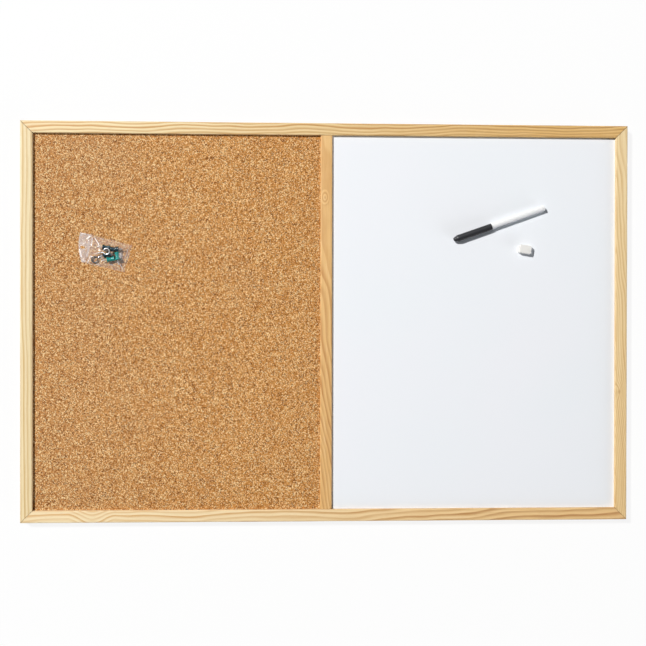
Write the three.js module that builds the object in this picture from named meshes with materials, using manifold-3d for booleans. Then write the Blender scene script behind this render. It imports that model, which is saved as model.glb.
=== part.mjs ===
// Combination board: a cork half and a white lacquered steel half in one mitred pine frame.
// It lies on its back with the loose things that come with it: a capped marker, a magnet and
// a clear bag of fixings. Millimetres: +X along the long side, +Y up the board as it hangs,
// +Z out of its face, and the frame's back faces lie on Z = 0.

import * as THREE from 'three';
import { mergeVertices } from 'three/addons/utils/BufferGeometryUtils.js';
import Module from 'manifold-3d';

const wasm = await Module();
wasm.setup();

// Whole board
const BOARD_WIDTH = 900;
const BOARD_HEIGHT = 590;
const FRAME_DEPTH = 18;

// Pine moulding: an L section whose lip covers the edge of the panels
const RAIL_WIDTH = 18;
const LIP_WIDTH = 7;
const LIP_THICKNESS = 5;
const FRONT_ROUND = 2.5;
const LIP_ROUND = 1.3;
const BACK_ROUND = 0.8;
const MITRE_GAP = 0.3;

// Panels in the rebate, from the face down: sheet, glue, core, back panel
const LIP_GAP = 0.1;
const PANEL_EDGE_GAP = 1;
const GLUE_LINE = 0.1;
const CORK_THICKNESS = 2;
const STEEL_THICKNESS = 0.5;
const PANEL_THICKNESS = 8;
const BACK_THICKNESS = 2.5;

// Strip between the two halves: a T section, its web down to the back panel
const MULLION_OFFSET = -1.5;
const MULLION_WIDTH = 17.5;
const MULLION_CAP_THICKNESS = 4;
const MULLION_ROUND = 2;
const MULLION_WEB_WIDTH = 6;
const MULLION_WEB_GAP = 0.5;
const MULLION_END_GAP = 0.3;

// V nail pressed into each mitre from the back
const CORNER_NAIL_LEG = 5;
const CORNER_NAIL_THICKNESS = 0.6;
const CORNER_NAIL_HEIGHT = 9;
const CORNER_NAIL_SINK = 1;
const CORNER_NAIL_INSET = 5.5;

// Framer's points: thin plates in slots in the rebate's wall, behind the back panel
const POINTS_PER_RAIL = 3;
const POINTS_PER_STILE = 2;
const POINT_WIDTH = 6;
const POINT_IN_WOOD = 5;
const POINT_OVER_BACK = 7;
const POINT_THICKNESS = 0.4;
const POINT_TIP_WIDTH = 2;

// Brads through the back panel into the strip's web
const BRAD_COUNT = 3;
const BRAD_DIAMETER = 1.4;
const BRAD_HEAD_DIAMETER = 3;
const BRAD_HEAD_THICKNESS = 0.6;
const BRAD_LENGTH = 9;
const BRAD_TIP = 1.5;

// Clearances shared by all fits, and how far a cutter runs past what it cuts
const FIT_GAP = 0.3;
const REST_GAP = 0.3;
const OVERRUN = 1;

// Where the loose things lie, from the board's middle, as shares of its width and height
const MARKER_PLACE_SHARES = { across: 0.2087, up: 0.2087 };
const MAGNET_PLACE_SHARES = { across: 0.3277, up: 0.1853 };
const BAG_PLACE_SHARES = { across: -0.3647, up: 0.1714 };

// Marker, its cap's nose at the lower left. It rests on its cap's rim and its barrel's end
const MARKER_TURN = THREE.MathUtils.degToRad(19.4);
const CAP_LENGTH = 60;
const CAP_DIAMETER = 9.6;
const CAP_WALL = 0.9;
const CAP_FLOOR = 2;
const NOSE_LENGTH = 7;
const NOSE_FACE_DIAMETER = 4.6;
const NOSE_BEND_DIAMETER = 7.8;
const NOSE_BEND_LENGTH = 3.2;
const NOSE_STEP_LENGTH = 1.2;
const BARREL_DIAMETER = 8;
const BARREL_LENGTH = 81;
const BARREL_WALL = 0.8;
const PLUG_RIM_LENGTH = 2.7;
const PLUG_ROUND = 0.3;
const PLUG_SPIGOT_LENGTH = 8;
const SECTION_SPIGOT_LENGTH = 8;
const SECTION_NECK_LENGTH = 12;
const SECTION_CONE_LENGTH = 13;
const SECTION_TIP_DIAMETER = 4.4;
const NIB_DIAMETER = 2.8;
const NIB_LENGTH = 26;
const NIB_REACH = 6;
const NIB_TIP_LENGTH = 2.5;
const NIB_TIP_DIAMETER = 1.4;

// Magnet: a rounded plastic shell over a ferrite block
const MAGNET_TURN = THREE.MathUtils.degToRad(-8);
const MAGNET_LENGTH = 18;
const MAGNET_WIDTH = 12.5;
const MAGNET_HEIGHT = 8.5;
const MAGNET_CORNER = 2.2;
const MAGNET_EDGE = 1;
const MAGNET_CORE_LENGTH = 14;
const MAGNET_CORE_WIDTH = 8.5;
const MAGNET_CORE_HEIGHT = 4;

// Bag: two films sealed on three sides, its slanted open mouth to the left of the zip line
const BAG_TURN = THREE.MathUtils.degToRad(-14.7);
const BAG_FOOT_REACH = 35.7;
const BAG_FOOT_SLANT = 0.7;
const BAG_FOOT_SHIFT = 1.45;
const BAG_MOUTH_REACH = 38.6;
const BAG_MOUTH_SLANT = 6.4;
const BAG_MOUTH_SAG = 3.7;
const BAG_MOUTH_WIDTH = 43;
const BAG_FOOT_WIDTH = 40.9;
const BAG_SEAL = 2;
const BAG_ZIP_REACH = 23;
const BAG_FILM = 0.4;
const BAG_MOUTH_GAP = 0.4;
const BAG_BULGE = 12;
const HANG_HOLE_DIAMETER = 6;
const HANG_HOLE_REACH = 33.8;

// Push pins
const PIN_HEAD_LENGTH = 11.3;
const PIN_COLLAR_DIAMETER = 8.2;
const PIN_COLLAR_THICKNESS = 1.3;
const PIN_TOP_DIAMETER = 7;
const PIN_TOP_THICKNESS = 1.6;
const PIN_WAIST_DIAMETER = 5.6;
const PIN_NEEDLE_DIAMETER = 1.1;
const PIN_NEEDLE_REACH = 9;
const PIN_NEEDLE_ROOT = 6;
const PIN_NEEDLE_POINT = 2.5;

// Screw eyes
const EYE_RING_DIAMETER = 10.5;
const EYE_WIRE = 1.8;
const EYE_SHANK_DIAMETER = 2.6;
const EYE_SHANK_LENGTH = 10;
const EYE_POINT_LENGTH = 3.5;
const EYE_OPENING = THREE.MathUtils.degToRad(24);

// How finely round things are stepped
const EDGE_STEPS = 4;
const TURNED_STEPS = 32;
const SMALL_TURNED_STEPS = 16;
const NEEDLE_STEPS = 8;
const BAG_STEPS_ALONG = 16;
const BAG_STEPS_ACROSS = 12;
const RING_STEPS = 22;
const WIRE_STEPS = 8;

// Levels that follow from the stack of the panels
const lipLevel = FRAME_DEPTH - LIP_THICKNESS;
const faceLevel = lipLevel - LIP_GAP;
const coreBottom = faceLevel - PANEL_THICKNESS;
const backTop = coreBottom - GLUE_LINE;
const backBottom = backTop - BACK_THICKNESS;
const rebateDepth = RAIL_WIDTH - LIP_WIDTH;
const rebateWidth = BOARD_WIDTH - 2 * rebateDepth;
const rebateHeight = BOARD_HEIGHT - 2 * rebateDepth;

const pine = material('#dfc08a', 0.6);
const cork = material('#c0925f', 0.9);
const fibreboard = material('#b8956a', 0.95);
const hardboard = material('#6f4a2c', 0.7);
const lacquer = material('#eceef0', 0.2);
const steel = material('#b9bcc0', 0.3, 1);
const capPlastic = material('#2b2c2f', 0.4);
const whitePlastic = material('#f2f2f0', 0.35);
const inkFibre = material('#3a3a44', 0.95);
const nibFelt = material('#26262a', 0.95);
const magnetPlastic = material('#f0f0ec', 0.4);
const ferrite = material('#3d3d40', 0.6);
const film = material('#d9d6d2', 0.15);
const pinPlastic = material('#0f7f72', 0.25);
const nickel = material('#c9ccd0', 0.25, 1);

const board = new THREE.Group();

function material(color, roughness, metalness = 0) {
  return new THREE.MeshStandardMaterial({ color, roughness, metalness });
}

function place(name, geometry, finish, parent = board) {
  const mesh = new THREE.Mesh(geometry, finish);
  mesh.name = name;
  parent.add(mesh);
  return mesh;
}

// Closed solid of a geometry, with only its places left and its shared vertices merged.
function solidOf(geometry) {
  const bare = geometry.clone();
  bare.deleteAttribute('normal');
  bare.deleteAttribute('uv');
  const merged = mergeVertices(bare);
  const vertProperties = new Float32Array(merged.attributes.position.array);
  const triVerts = new Uint32Array(merged.index.array);
  return new wasm.Manifold(new wasm.Mesh({ numProp: 3, vertProperties, triVerts }));
}

function geometryOf(solid) {
  const mesh = solid.getMesh();
  const geometry = new THREE.BufferGeometry();
  geometry.setAttribute('position', new THREE.BufferAttribute(mesh.vertProperties, mesh.numProp));
  geometry.setIndex(new THREE.BufferAttribute(mesh.triVerts, 1));
  return geometry;
}

function join(first, second) {
  return geometryOf(solidOf(first).add(solidOf(second)));
}

function cut(geometry, cutters) {
  const solids = cutters.map(solidOf);
  return geometryOf(solids.reduce((left, cutter) => left.subtract(cutter), solidOf(geometry)));
}

// A block from its lowest to its highest corner.
function block(low, high) {
  const size = high.map((value, axis) => value - low[axis]);
  const geometry = new THREE.BoxGeometry(...size);
  return geometry.translate(...low.map((value, axis) => value + size[axis] / 2));
}

// A body of revolution about X. The profile is a list of [place along the axis, radius].
function turned(profile, steps) {
  const points = profile.map(([along, radius]) => new THREE.Vector2(radius, along));
  return new THREE.LatheGeometry(points, steps).rotateZ(-Math.PI / 2);
}

// Corner of an outline as a quarter circle from one side of the corner to the other.
function roundCorner(shape, x, y, radius, startTurn) {
  const centreX = x - radius * Math.SQRT2 * Math.cos(startTurn + Math.PI / 4);
  const centreY = y - radius * Math.SQRT2 * Math.sin(startTurn + Math.PI / 4);
  shape.absarc(centreX, centreY, radius, startTurn, startTurn + Math.PI / 2, false);
}

// Section of the moulding. X is the distance in from the board's edge and Y the height.
function railSection() {
  const section = new THREE.Shape();
  roundCorner(section, 0, 0, BACK_ROUND, Math.PI);
  section.lineTo(rebateDepth, 0);
  section.lineTo(rebateDepth, lipLevel);
  section.lineTo(RAIL_WIDTH, lipLevel);
  roundCorner(section, RAIL_WIDTH, FRAME_DEPTH, LIP_ROUND, 0);
  roundCorner(section, 0, FRAME_DEPTH, FRONT_ROUND, Math.PI / 2);
  section.closePath();
  return section;
}

// One side of the frame along the board's lower edge, turned round to its own edge.
// The ends slope with the section, so that each end face is a 45 degree mitre.
function rail(length, reach, quarterTurns, cutters) {
  const options = { depth: length, bevelEnabled: false, curveSegments: EDGE_STEPS };
  const geometry = new THREE.ExtrudeGeometry(railSection(), options);
  const places = geometry.attributes.position;
  for (let i = 0; i < places.count; i += 1) {
    const inward = places.getX(i);
    const height = places.getY(i);
    const side = places.getZ(i) > length / 2 ? 1 : -1;
    const along = side * (length / 2 - inward - MITRE_GAP / Math.SQRT2);
    places.setXYZ(i, along, inward - reach, height);
  }
  geometry.rotateZ(quarterTurns * Math.PI / 2);
  return cut(geometry, cutters);
}

// L outline of a V nail, its corner at the origin, or of its slot when it is grown.
function cornerNailOutline(growth) {
  const half = CORNER_NAIL_THICKNESS / 2 + growth;
  const end = CORNER_NAIL_LEG + growth;
  const outline = [[half, -half], [half, end], [-half, end], [-half, half], [-end, half], [-end, -half]];
  return new THREE.Shape(outline.map(([x, y]) => new THREE.Vector2(x, y)));
}

// Nail or slot at one corner of the board, counted round from the lower right.
function cornerNail(corner, growth, bottom) {
  const depth = CORNER_NAIL_SINK + CORNER_NAIL_HEIGHT + growth - bottom;
  const geometry = new THREE.ExtrudeGeometry(cornerNailOutline(growth), { depth, bevelEnabled: false });
  const right = corner < 2 ? 1 : -1;
  const up = corner === 1 || corner === 2 ? 1 : -1;
  geometry.rotateZ(corner * Math.PI / 2);
  return geometry.translate(
    right * (BOARD_WIDTH / 2 - CORNER_NAIL_INSET),
    up * (BOARD_HEIGHT / 2 - CORNER_NAIL_INSET),
    bottom,
  );
}

// Places of the framer's points: how many quarter turns round the board, and where along a side.
function pointPlaces() {
  const sides = [
    [POINTS_PER_RAIL, rebateWidth, rebateHeight],
    [POINTS_PER_STILE, rebateHeight, rebateWidth],
    [POINTS_PER_RAIL, rebateWidth, rebateHeight],
    [POINTS_PER_STILE, rebateHeight, rebateWidth],
  ];
  return sides.flatMap(([count, length, span], quarterTurns) =>
    Array.from({ length: count }, (_, i) => ({
      quarterTurns,
      along: length * ((i + 0.5) / count - 0.5),
      reach: span / 2,
    })));
}

function atSide(geometry, { quarterTurns, along, reach }) {
  return geometry.translate(along, -reach, 0).rotateZ(quarterTurns * Math.PI / 2);
}

function backPoint(spot) {
  const half = POINT_WIDTH / 2;
  const tip = POINT_TIP_WIDTH / 2;
  const outline = [[-tip, -POINT_IN_WOOD], [tip, -POINT_IN_WOOD], [half, 0], [tip, POINT_OVER_BACK],
    [-tip, POINT_OVER_BACK], [-half, 0]];
  const shape = new THREE.Shape(outline.map(([x, y]) => new THREE.Vector2(x, y)));
  const geometry = new THREE.ExtrudeGeometry(shape, { depth: POINT_THICKNESS, bevelEnabled: false });
  return atSide(geometry.translate(0, 0, backBottom - FIT_GAP - POINT_THICKNESS), spot);
}

function backPointSlot(spot) {
  const half = POINT_WIDTH / 2 + FIT_GAP;
  const top = backBottom;
  const low = [-half, -POINT_IN_WOOD - FIT_GAP, top - POINT_THICKNESS - 2 * FIT_GAP];
  return atSide(block(low, [half, OVERRUN, top]), spot);
}

// Slot or hole for the brads, as a column through the back panel and up into the web.
function bradHole(y) {
  const radius = BRAD_DIAMETER / 2 + FIT_GAP;
  const top = bradHeadBottom + BRAD_LENGTH + FIT_GAP;
  const column = turned([[0, 0], [0, radius], [top, radius], [top, 0]], NEEDLE_STEPS);
  return column.rotateY(-Math.PI / 2).translate(MULLION_OFFSET, y, 0);
}

function brad(y) {
  const radius = BRAD_DIAMETER / 2;
  const headRadius = BRAD_HEAD_DIAMETER / 2;
  const profile = [
    [0, 0], [0, headRadius], [BRAD_HEAD_THICKNESS, headRadius], [BRAD_HEAD_THICKNESS, radius],
    [BRAD_LENGTH - BRAD_TIP, radius], [BRAD_LENGTH, 0],
  ];
  return turned(profile, NEEDLE_STEPS).rotateY(-Math.PI / 2).translate(MULLION_OFFSET, y, bradHeadBottom);
}

const bradHeadBottom = backBottom - FIT_GAP - BRAD_HEAD_THICKNESS;
const bradPlaces = Array.from(
  { length: BRAD_COUNT },
  (_, i) => rebateHeight * ((i + 0.5) / BRAD_COUNT - 0.5),
);

// Strip between the halves: its cap butts between the rails' lips, its web runs under them.
function mullion() {
  const capLength = BOARD_HEIGHT - 2 * RAIL_WIDTH - 2 * MULLION_END_GAP;
  const half = MULLION_WIDTH / 2;
  const section = new THREE.Shape();
  section.moveTo(-half, 0);
  section.lineTo(half, 0);
  roundCorner(section, half, MULLION_CAP_THICKNESS, MULLION_ROUND, 0);
  roundCorner(section, -half, MULLION_CAP_THICKNESS, MULLION_ROUND, Math.PI / 2);
  section.closePath();
  const options = { depth: capLength, bevelEnabled: false, curveSegments: EDGE_STEPS };
  const cap = new THREE.ExtrudeGeometry(section, options)
    .rotateX(Math.PI / 2)
    .translate(MULLION_OFFSET, capLength / 2, lipLevel);
  const webHalf = MULLION_WEB_WIDTH / 2;
  const webReach = rebateHeight / 2 - PANEL_EDGE_GAP;
  const web = block(
    [MULLION_OFFSET - webHalf, -webReach, backTop + GLUE_LINE],
    [MULLION_OFFSET + webHalf, webReach, faceLevel],
  );
  const tenon = block(
    [MULLION_OFFSET - webHalf, -capLength / 2 + MULLION_END_GAP, backTop + GLUE_LINE],
    [MULLION_OFFSET + webHalf, capLength / 2 - MULLION_END_GAP, lipLevel + OVERRUN],
  );
  return cut(join(join(cap, tenon), web), bradPlaces.map(bradHole));
}

// The four sheets of one half: from the mullion's web to the rebate's wall on its side.
function panelLayer(side, bottom, top) {
  const inner = MULLION_OFFSET + side * (MULLION_WEB_WIDTH / 2 + MULLION_WEB_GAP);
  const outer = side * (rebateWidth / 2 - PANEL_EDGE_GAP);
  const reach = rebateHeight / 2 - PANEL_EDGE_GAP;
  return block([Math.min(inner, outer), -reach, bottom], [Math.max(inner, outer), reach, top]);
}

function backPanel() {
  const acrossReach = rebateWidth / 2 - PANEL_EDGE_GAP;
  const upReach = rebateHeight / 2 - PANEL_EDGE_GAP;
  const sheet = block([-acrossReach, -upReach, backBottom], [acrossReach, upReach, backTop]);
  return cut(sheet, bradPlaces.map(bradHole));
}

function addFrame() {
  const nailSlots = [0, 1, 2, 3].map((corner) => cornerNail(corner, FIT_GAP, -OVERRUN));
  const spots = pointPlaces();
  const names = ['bottom_rail', 'right_stile', 'top_rail', 'left_stile'];
  names.forEach((name, quarterTurns) => {
    const upright = quarterTurns % 2 === 1;
    const length = upright ? BOARD_HEIGHT : BOARD_WIDTH;
    const reach = (upright ? BOARD_WIDTH : BOARD_HEIGHT) / 2;
    const ownSlots = spots.filter((spot) => spot.quarterTurns === quarterTurns).map(backPointSlot);
    const neighbours = [nailSlots[quarterTurns], nailSlots[(quarterTurns + 3) % 4]];
    place(name, rail(length, reach, quarterTurns, [...ownSlots, ...neighbours]), pine);
  });
  [0, 1, 2, 3].forEach((corner) => {
    place(`corner_nail_${corner + 1}`, cornerNail(corner, 0, CORNER_NAIL_SINK), steel);
  });
  spots.forEach((spot, i) => place(`back_point_${i + 1}`, backPoint(spot), steel));
  place('centre_mullion', mullion(), pine);
  bradPlaces.forEach((y, i) => place(`mullion_brad_${i + 1}`, brad(y), steel));
}

function addPanels() {
  const corkBottom = faceLevel - CORK_THICKNESS;
  const steelBottom = faceLevel - STEEL_THICKNESS;
  place('cork_sheet', panelLayer(-1, corkBottom, faceLevel), cork);
  place('cork_core', panelLayer(-1, coreBottom, corkBottom - GLUE_LINE), fibreboard);
  place('whiteboard_sheet', panelLayer(1, steelBottom, faceLevel), lacquer);
  place('whiteboard_core', panelLayer(1, coreBottom, steelBottom - GLUE_LINE), fibreboard);
  place('back_panel', backPanel(), hardboard);
}

function onBoard({ across, up }) {
  return [across * BOARD_WIDTH, up * BOARD_HEIGHT];
}

// Marker along X from the nose of its cap.
function addMarker() {
  const marker = new THREE.Group();
  const capRadius = CAP_DIAMETER / 2;
  const restSpan = BARREL_LENGTH + 2 * FIT_GAP + PLUG_RIM_LENGTH - PLUG_ROUND;
  const tilt = Math.atan((capRadius - BARREL_DIAMETER / 2) / restSpan);
  const noseHeight = capRadius * Math.cos(tilt) + CAP_LENGTH * Math.sin(tilt);
  marker.position.set(...onBoard(MARKER_PLACE_SHARES), faceLevel + REST_GAP + noseHeight);
  marker.rotation.set(0, tilt, MARKER_TURN, 'ZYX');
  board.add(marker);

  const capBore = capRadius - CAP_WALL;
  const noseBore = NOSE_BEND_DIAMETER / 2 - CAP_WALL;
  const cap = [
    [0, 0], [0, NOSE_FACE_DIAMETER / 2], [NOSE_BEND_LENGTH, NOSE_BEND_DIAMETER / 2],
    [NOSE_BEND_LENGTH + NOSE_STEP_LENGTH, NOSE_BEND_DIAMETER / 2], [NOSE_LENGTH, capRadius], [CAP_LENGTH, capRadius], [CAP_LENGTH, capBore],
    [NOSE_LENGTH + CAP_FLOOR, capBore], [NOSE_BEND_LENGTH + CAP_FLOOR, noseBore],
    [NOSE_BEND_LENGTH + CAP_FLOOR, 0],
  ];
  place('marker_cap', turned(cap, TURNED_STEPS), capPlastic, marker);

  const barrelRadius = BARREL_DIAMETER / 2;
  const bore = barrelRadius - BARREL_WALL;
  const front = CAP_LENGTH + FIT_GAP;
  const back = front + BARREL_LENGTH;
  const barrel = [[front, bore], [front, barrelRadius], [back, barrelRadius], [back, bore], [front, bore]];
  place('marker_barrel', turned(barrel, TURNED_STEPS), whitePlastic, marker);

  const spigot = bore - FIT_GAP;
  const rimStart = back + FIT_GAP;
  const rimEnd = rimStart + PLUG_RIM_LENGTH;
  const plug = [
    [back - PLUG_SPIGOT_LENGTH, 0], [back - PLUG_SPIGOT_LENGTH, spigot], [rimStart, spigot],
    [rimStart, barrelRadius], [rimEnd - PLUG_ROUND, barrelRadius],
    [rimEnd - PLUG_ROUND / 3, barrelRadius - PLUG_ROUND / 3],
    [rimEnd, barrelRadius - PLUG_ROUND], [rimEnd, 0],
  ];
  place('marker_end_plug', turned(plug, TURNED_STEPS), whitePlastic, marker);

  const neckEnd = front - SECTION_NECK_LENGTH;
  const coneEnd = neckEnd - SECTION_CONE_LENGTH;
  const neck = capBore - FIT_GAP;
  const nibBore = NIB_DIAMETER / 2 + FIT_GAP;
  const sectionEnd = front + SECTION_SPIGOT_LENGTH;
  const section = [
    [coneEnd, nibBore], [coneEnd, SECTION_TIP_DIAMETER / 2], [neckEnd, neck], [front - FIT_GAP, neck],
    [front - FIT_GAP, spigot], [sectionEnd, spigot], [sectionEnd, nibBore], [coneEnd, nibBore],
  ];
  place('marker_front_section', turned(section, TURNED_STEPS), capPlastic, marker);

  const nibTip = coneEnd - NIB_REACH;
  const nib = [
    [nibTip, 0], [nibTip, NIB_TIP_DIAMETER / 2], [nibTip + NIB_TIP_LENGTH, NIB_DIAMETER / 2],
    [nibTip + NIB_LENGTH, NIB_DIAMETER / 2], [nibTip + NIB_LENGTH, 0],
  ];
  place('marker_nib', turned(nib, SMALL_TURNED_STEPS), nibFelt, marker);

  const reservoirStart = Math.max(sectionEnd, nibTip + NIB_LENGTH) + FIT_GAP;
  const reservoirEnd = back - PLUG_SPIGOT_LENGTH - FIT_GAP;
  const reservoir = [
    [reservoirStart, 0], [reservoirStart, spigot], [reservoirEnd, spigot], [reservoirEnd, 0],
  ];
  place('marker_reservoir', turned(reservoir, SMALL_TURNED_STEPS), inkFibre, marker);
}

function addMagnet() {
  const magnet = new THREE.Group();
  magnet.position.set(...onBoard(MAGNET_PLACE_SHARES), faceLevel + REST_GAP);
  magnet.rotation.z = MAGNET_TURN;
  board.add(magnet);

  const halfLength = MAGNET_LENGTH / 2 - MAGNET_EDGE;
  const halfWidth = MAGNET_WIDTH / 2 - MAGNET_EDGE;
  const radius = MAGNET_CORNER - MAGNET_EDGE;
  const outline = new THREE.Shape();
  roundCorner(outline, halfLength, halfWidth, radius, 0);
  roundCorner(outline, -halfLength, halfWidth, radius, Math.PI / 2);
  roundCorner(outline, -halfLength, -halfWidth, radius, Math.PI);
  roundCorner(outline, halfLength, -halfWidth, radius, Math.PI * 1.5);
  outline.closePath();
  const shell = new THREE.ExtrudeGeometry(outline, {
    depth: MAGNET_HEIGHT - 2 * MAGNET_EDGE,
    bevelEnabled: true,
    bevelThickness: MAGNET_EDGE,
    bevelSize: MAGNET_EDGE,
    bevelSegments: EDGE_STEPS,
    curveSegments: EDGE_STEPS,
  }).translate(0, 0, MAGNET_EDGE);
  const coreHalf = [MAGNET_CORE_LENGTH / 2, MAGNET_CORE_WIDTH / 2];
  const pocketHalf = coreHalf.map((half) => half + FIT_GAP);
  const pocketTop = MAGNET_CORE_HEIGHT + 2 * FIT_GAP;
  const pocket = block([-pocketHalf[0], -pocketHalf[1], -OVERRUN], [...pocketHalf, pocketTop]);
  place('magnet_shell', cut(shell, [pocket]), magnetPlastic, magnet);
  const coreTop = FIT_GAP + MAGNET_CORE_HEIGHT;
  const core = block([-coreHalf[0], -coreHalf[1], FIT_GAP], [coreHalf[0], coreHalf[1], coreTop]);
  place('magnet_core', core, ferrite, magnet);
}

// Where the bag's mouth ends, along the bag's own axis, at a share from -1 to 1 across it.
function mouthPlace(acrossShare) {
  return -BAG_MOUTH_REACH - BAG_MOUTH_SLANT * acrossShare + BAG_MOUTH_SAG * acrossShare ** 2;
}

// Outer body of the bag or the space between its films: flat past the zip line, and swollen
// by the bulge from there to the foot. The space is drawn in by the seal on its closed sides.
function pillow(seal, mouthRun, bottom, thickness) {
  const geometry = new THREE.BoxGeometry(1, 1, 1, BAG_STEPS_ALONG, BAG_STEPS_ACROSS, 1);
  const places = geometry.attributes.position;
  for (let i = 0; i < places.count; i += 1) {
    const alongShare = places.getX(i) + 0.5;
    const acrossShare = 2 * places.getY(i);
    const isTop = places.getZ(i) > 0;
    const foot = BAG_FOOT_REACH + BAG_FOOT_SLANT * acrossShare - seal;
    const middle = (foot - BAG_ZIP_REACH) / 2;
    const halfLength = (foot + BAG_ZIP_REACH) / 2;
    const start = mouthPlace(acrossShare) - mouthRun;
    const along = start + (foot - start) * alongShare;
    const width = BAG_MOUTH_WIDTH + (BAG_FOOT_WIDTH - BAG_MOUTH_WIDTH) * alongShare;
    const across = acrossShare * (width / 2 - seal) + BAG_FOOT_SHIFT * alongShare;
    const fromMiddle = Math.min(Math.abs(along - middle) / halfLength, 1);
    const rise = BAG_BULGE * (1 - fromMiddle ** 6) * (1 - acrossShare ** 6);
    places.setXYZ(i, along, across, isTop ? bottom + thickness + rise : bottom);
  }
  return geometry;
}

function addBag() {
  const bag = new THREE.Group();
  bag.position.set(...onBoard(BAG_PLACE_SHARES), faceLevel + REST_GAP);
  board.add(bag);

  const outer = pillow(0, 0, 0, 2 * BAG_FILM + BAG_MOUTH_GAP);
  const inner = pillow(BAG_SEAL, OVERRUN, BAG_FILM, BAG_MOUTH_GAP);
  const radius = HANG_HOLE_DIAMETER / 2;
  const drill = 2 * BAG_FILM + BAG_MOUTH_GAP + OVERRUN;
  const hole = turned([[-OVERRUN, 0], [-OVERRUN, radius], [drill, radius], [drill, 0]], SMALL_TURNED_STEPS)
    .rotateY(-Math.PI / 2)
    .translate(-HANG_HOLE_REACH, 0, 0);
  const pouch = place('bag_film', cut(outer, [inner, hole]), film, bag);
  pouch.rotation.z = BAG_TURN;

  addPins(bag, BAG_FILM + REST_GAP);
  addScrewEyes(bag, BAG_FILM + REST_GAP);
}

// Push pins: where each lies in the bag, in head lengths from its middle, and where it points.
const PIN_PLACE_SHARES = [
  { across: 1.76, up: -0.38, turn: -82 },
  { across: 0.907, up: -0.777, turn: 190 },
  { across: 0.353, up: 0.745, turn: 177 },
  { across: 1.4, up: 0.535, turn: 0.6 },
  { across: 0.469, up: -0.187, turn: 196 },
];

function addPins(bag, floor) {
  const collar = PIN_COLLAR_DIAMETER / 2;
  const top = PIN_TOP_DIAMETER / 2;
  const waist = PIN_WAIST_DIAMETER / 2;
  const socket = PIN_NEEDLE_DIAMETER / 2 + FIT_GAP;
  const reach = PIN_HEAD_LENGTH / 2;
  const waistStart = -reach + PIN_TOP_THICKNESS;
  const waistEnd = reach - PIN_COLLAR_THICKNESS;
  const waistSpan = waistEnd - waistStart;
  const socketDepth = PIN_NEEDLE_ROOT + FIT_GAP;
  const head = [
    [-reach, 0], [-reach, top], [waistStart, top], [waistStart + waistSpan / 4, waist],
    [waistEnd - waistSpan / 4, waist], [waistEnd, collar], [reach, collar], [reach, socket],
    [reach - socketDepth, socket], [reach - socketDepth, 0],
  ];
  const needleRadius = PIN_NEEDLE_DIAMETER / 2;
  const tip = reach + PIN_NEEDLE_REACH;
  const needle = [
    [reach - PIN_NEEDLE_ROOT, 0], [reach - PIN_NEEDLE_ROOT, needleRadius],
    [tip - PIN_NEEDLE_POINT, needleRadius], [tip, 0],
  ];
  const tilt = Math.atan((collar - top) / PIN_HEAD_LENGTH);
  PIN_PLACE_SHARES.forEach(({ across, up, turn }, i) => {
    const pin = new THREE.Group();
    pin.position.set(across * PIN_HEAD_LENGTH, up * PIN_HEAD_LENGTH, floor + (collar + top) / 2);
    pin.rotation.set(0, -tilt, THREE.MathUtils.degToRad(turn), 'ZYX');
    bag.add(pin);
    place(`pin_head_${i + 1}`, turned(head, SMALL_TURNED_STEPS), pinPlastic, pin);
    place(`pin_needle_${i + 1}`, turned(needle, NEEDLE_STEPS), nickel, pin);
  });
}

// Screw eyes: the ring's middle in pin head lengths, as one lies on the pins and one on the film.
const EYE_PLACE_SHARES = [
  { across: 0.48, up: 0.17, height: 0.93, turn: 191, tilt: 6 },
  { across: -1.23, up: -0.83, height: 0.12, turn: 36, tilt: 0 },
];

// Screw eye with its ring's middle at the origin and its shank along +X.
function screwEye() {
  const ringRadius = (EYE_RING_DIAMETER - EYE_WIRE) / 2;
  const arc = new THREE.CatmullRomCurve3(Array.from({ length: RING_STEPS + 1 }, (_, i) => {
    const turn = (2 * Math.PI - EYE_OPENING) * i / RING_STEPS;
    return new THREE.Vector3(ringRadius * Math.cos(turn), ringRadius * Math.sin(turn), 0);
  }));
  const wire = new THREE.Shape().absarc(0, 0, EYE_WIRE / 2, 0, 2 * Math.PI, false);
  const ring = new THREE.ExtrudeGeometry(wire, {
    steps: RING_STEPS,
    curveSegments: WIRE_STEPS,
    extrudePath: arc,
  });
  const shankRadius = EYE_SHANK_DIAMETER / 2;
  const start = ringRadius;
  const end = start + EYE_SHANK_LENGTH;
  const shank = turned([
    [start, 0], [start, EYE_WIRE / 2], [start + EYE_WIRE, shankRadius],
    [end - EYE_POINT_LENGTH, shankRadius], [end, 0],
  ], SMALL_TURNED_STEPS);
  return join(ring, shank);
}

function addScrewEyes(bag, floor) {
  EYE_PLACE_SHARES.forEach(({ across, up, height, turn, tilt }, i) => {
    const eye = place(`screw_eye_${i + 1}`, screwEye(), nickel, bag);
    eye.position.set(
      across * PIN_HEAD_LENGTH,
      up * PIN_HEAD_LENGTH,
      floor + height * PIN_HEAD_LENGTH,
    );
    const radians = THREE.MathUtils.degToRad;
    eye.rotation.set(0, radians(tilt), radians(turn), 'ZYX');
  });
}

addFrame();
addPanels();
addMarker();
addMagnet();
addBag();

export default board;
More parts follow.
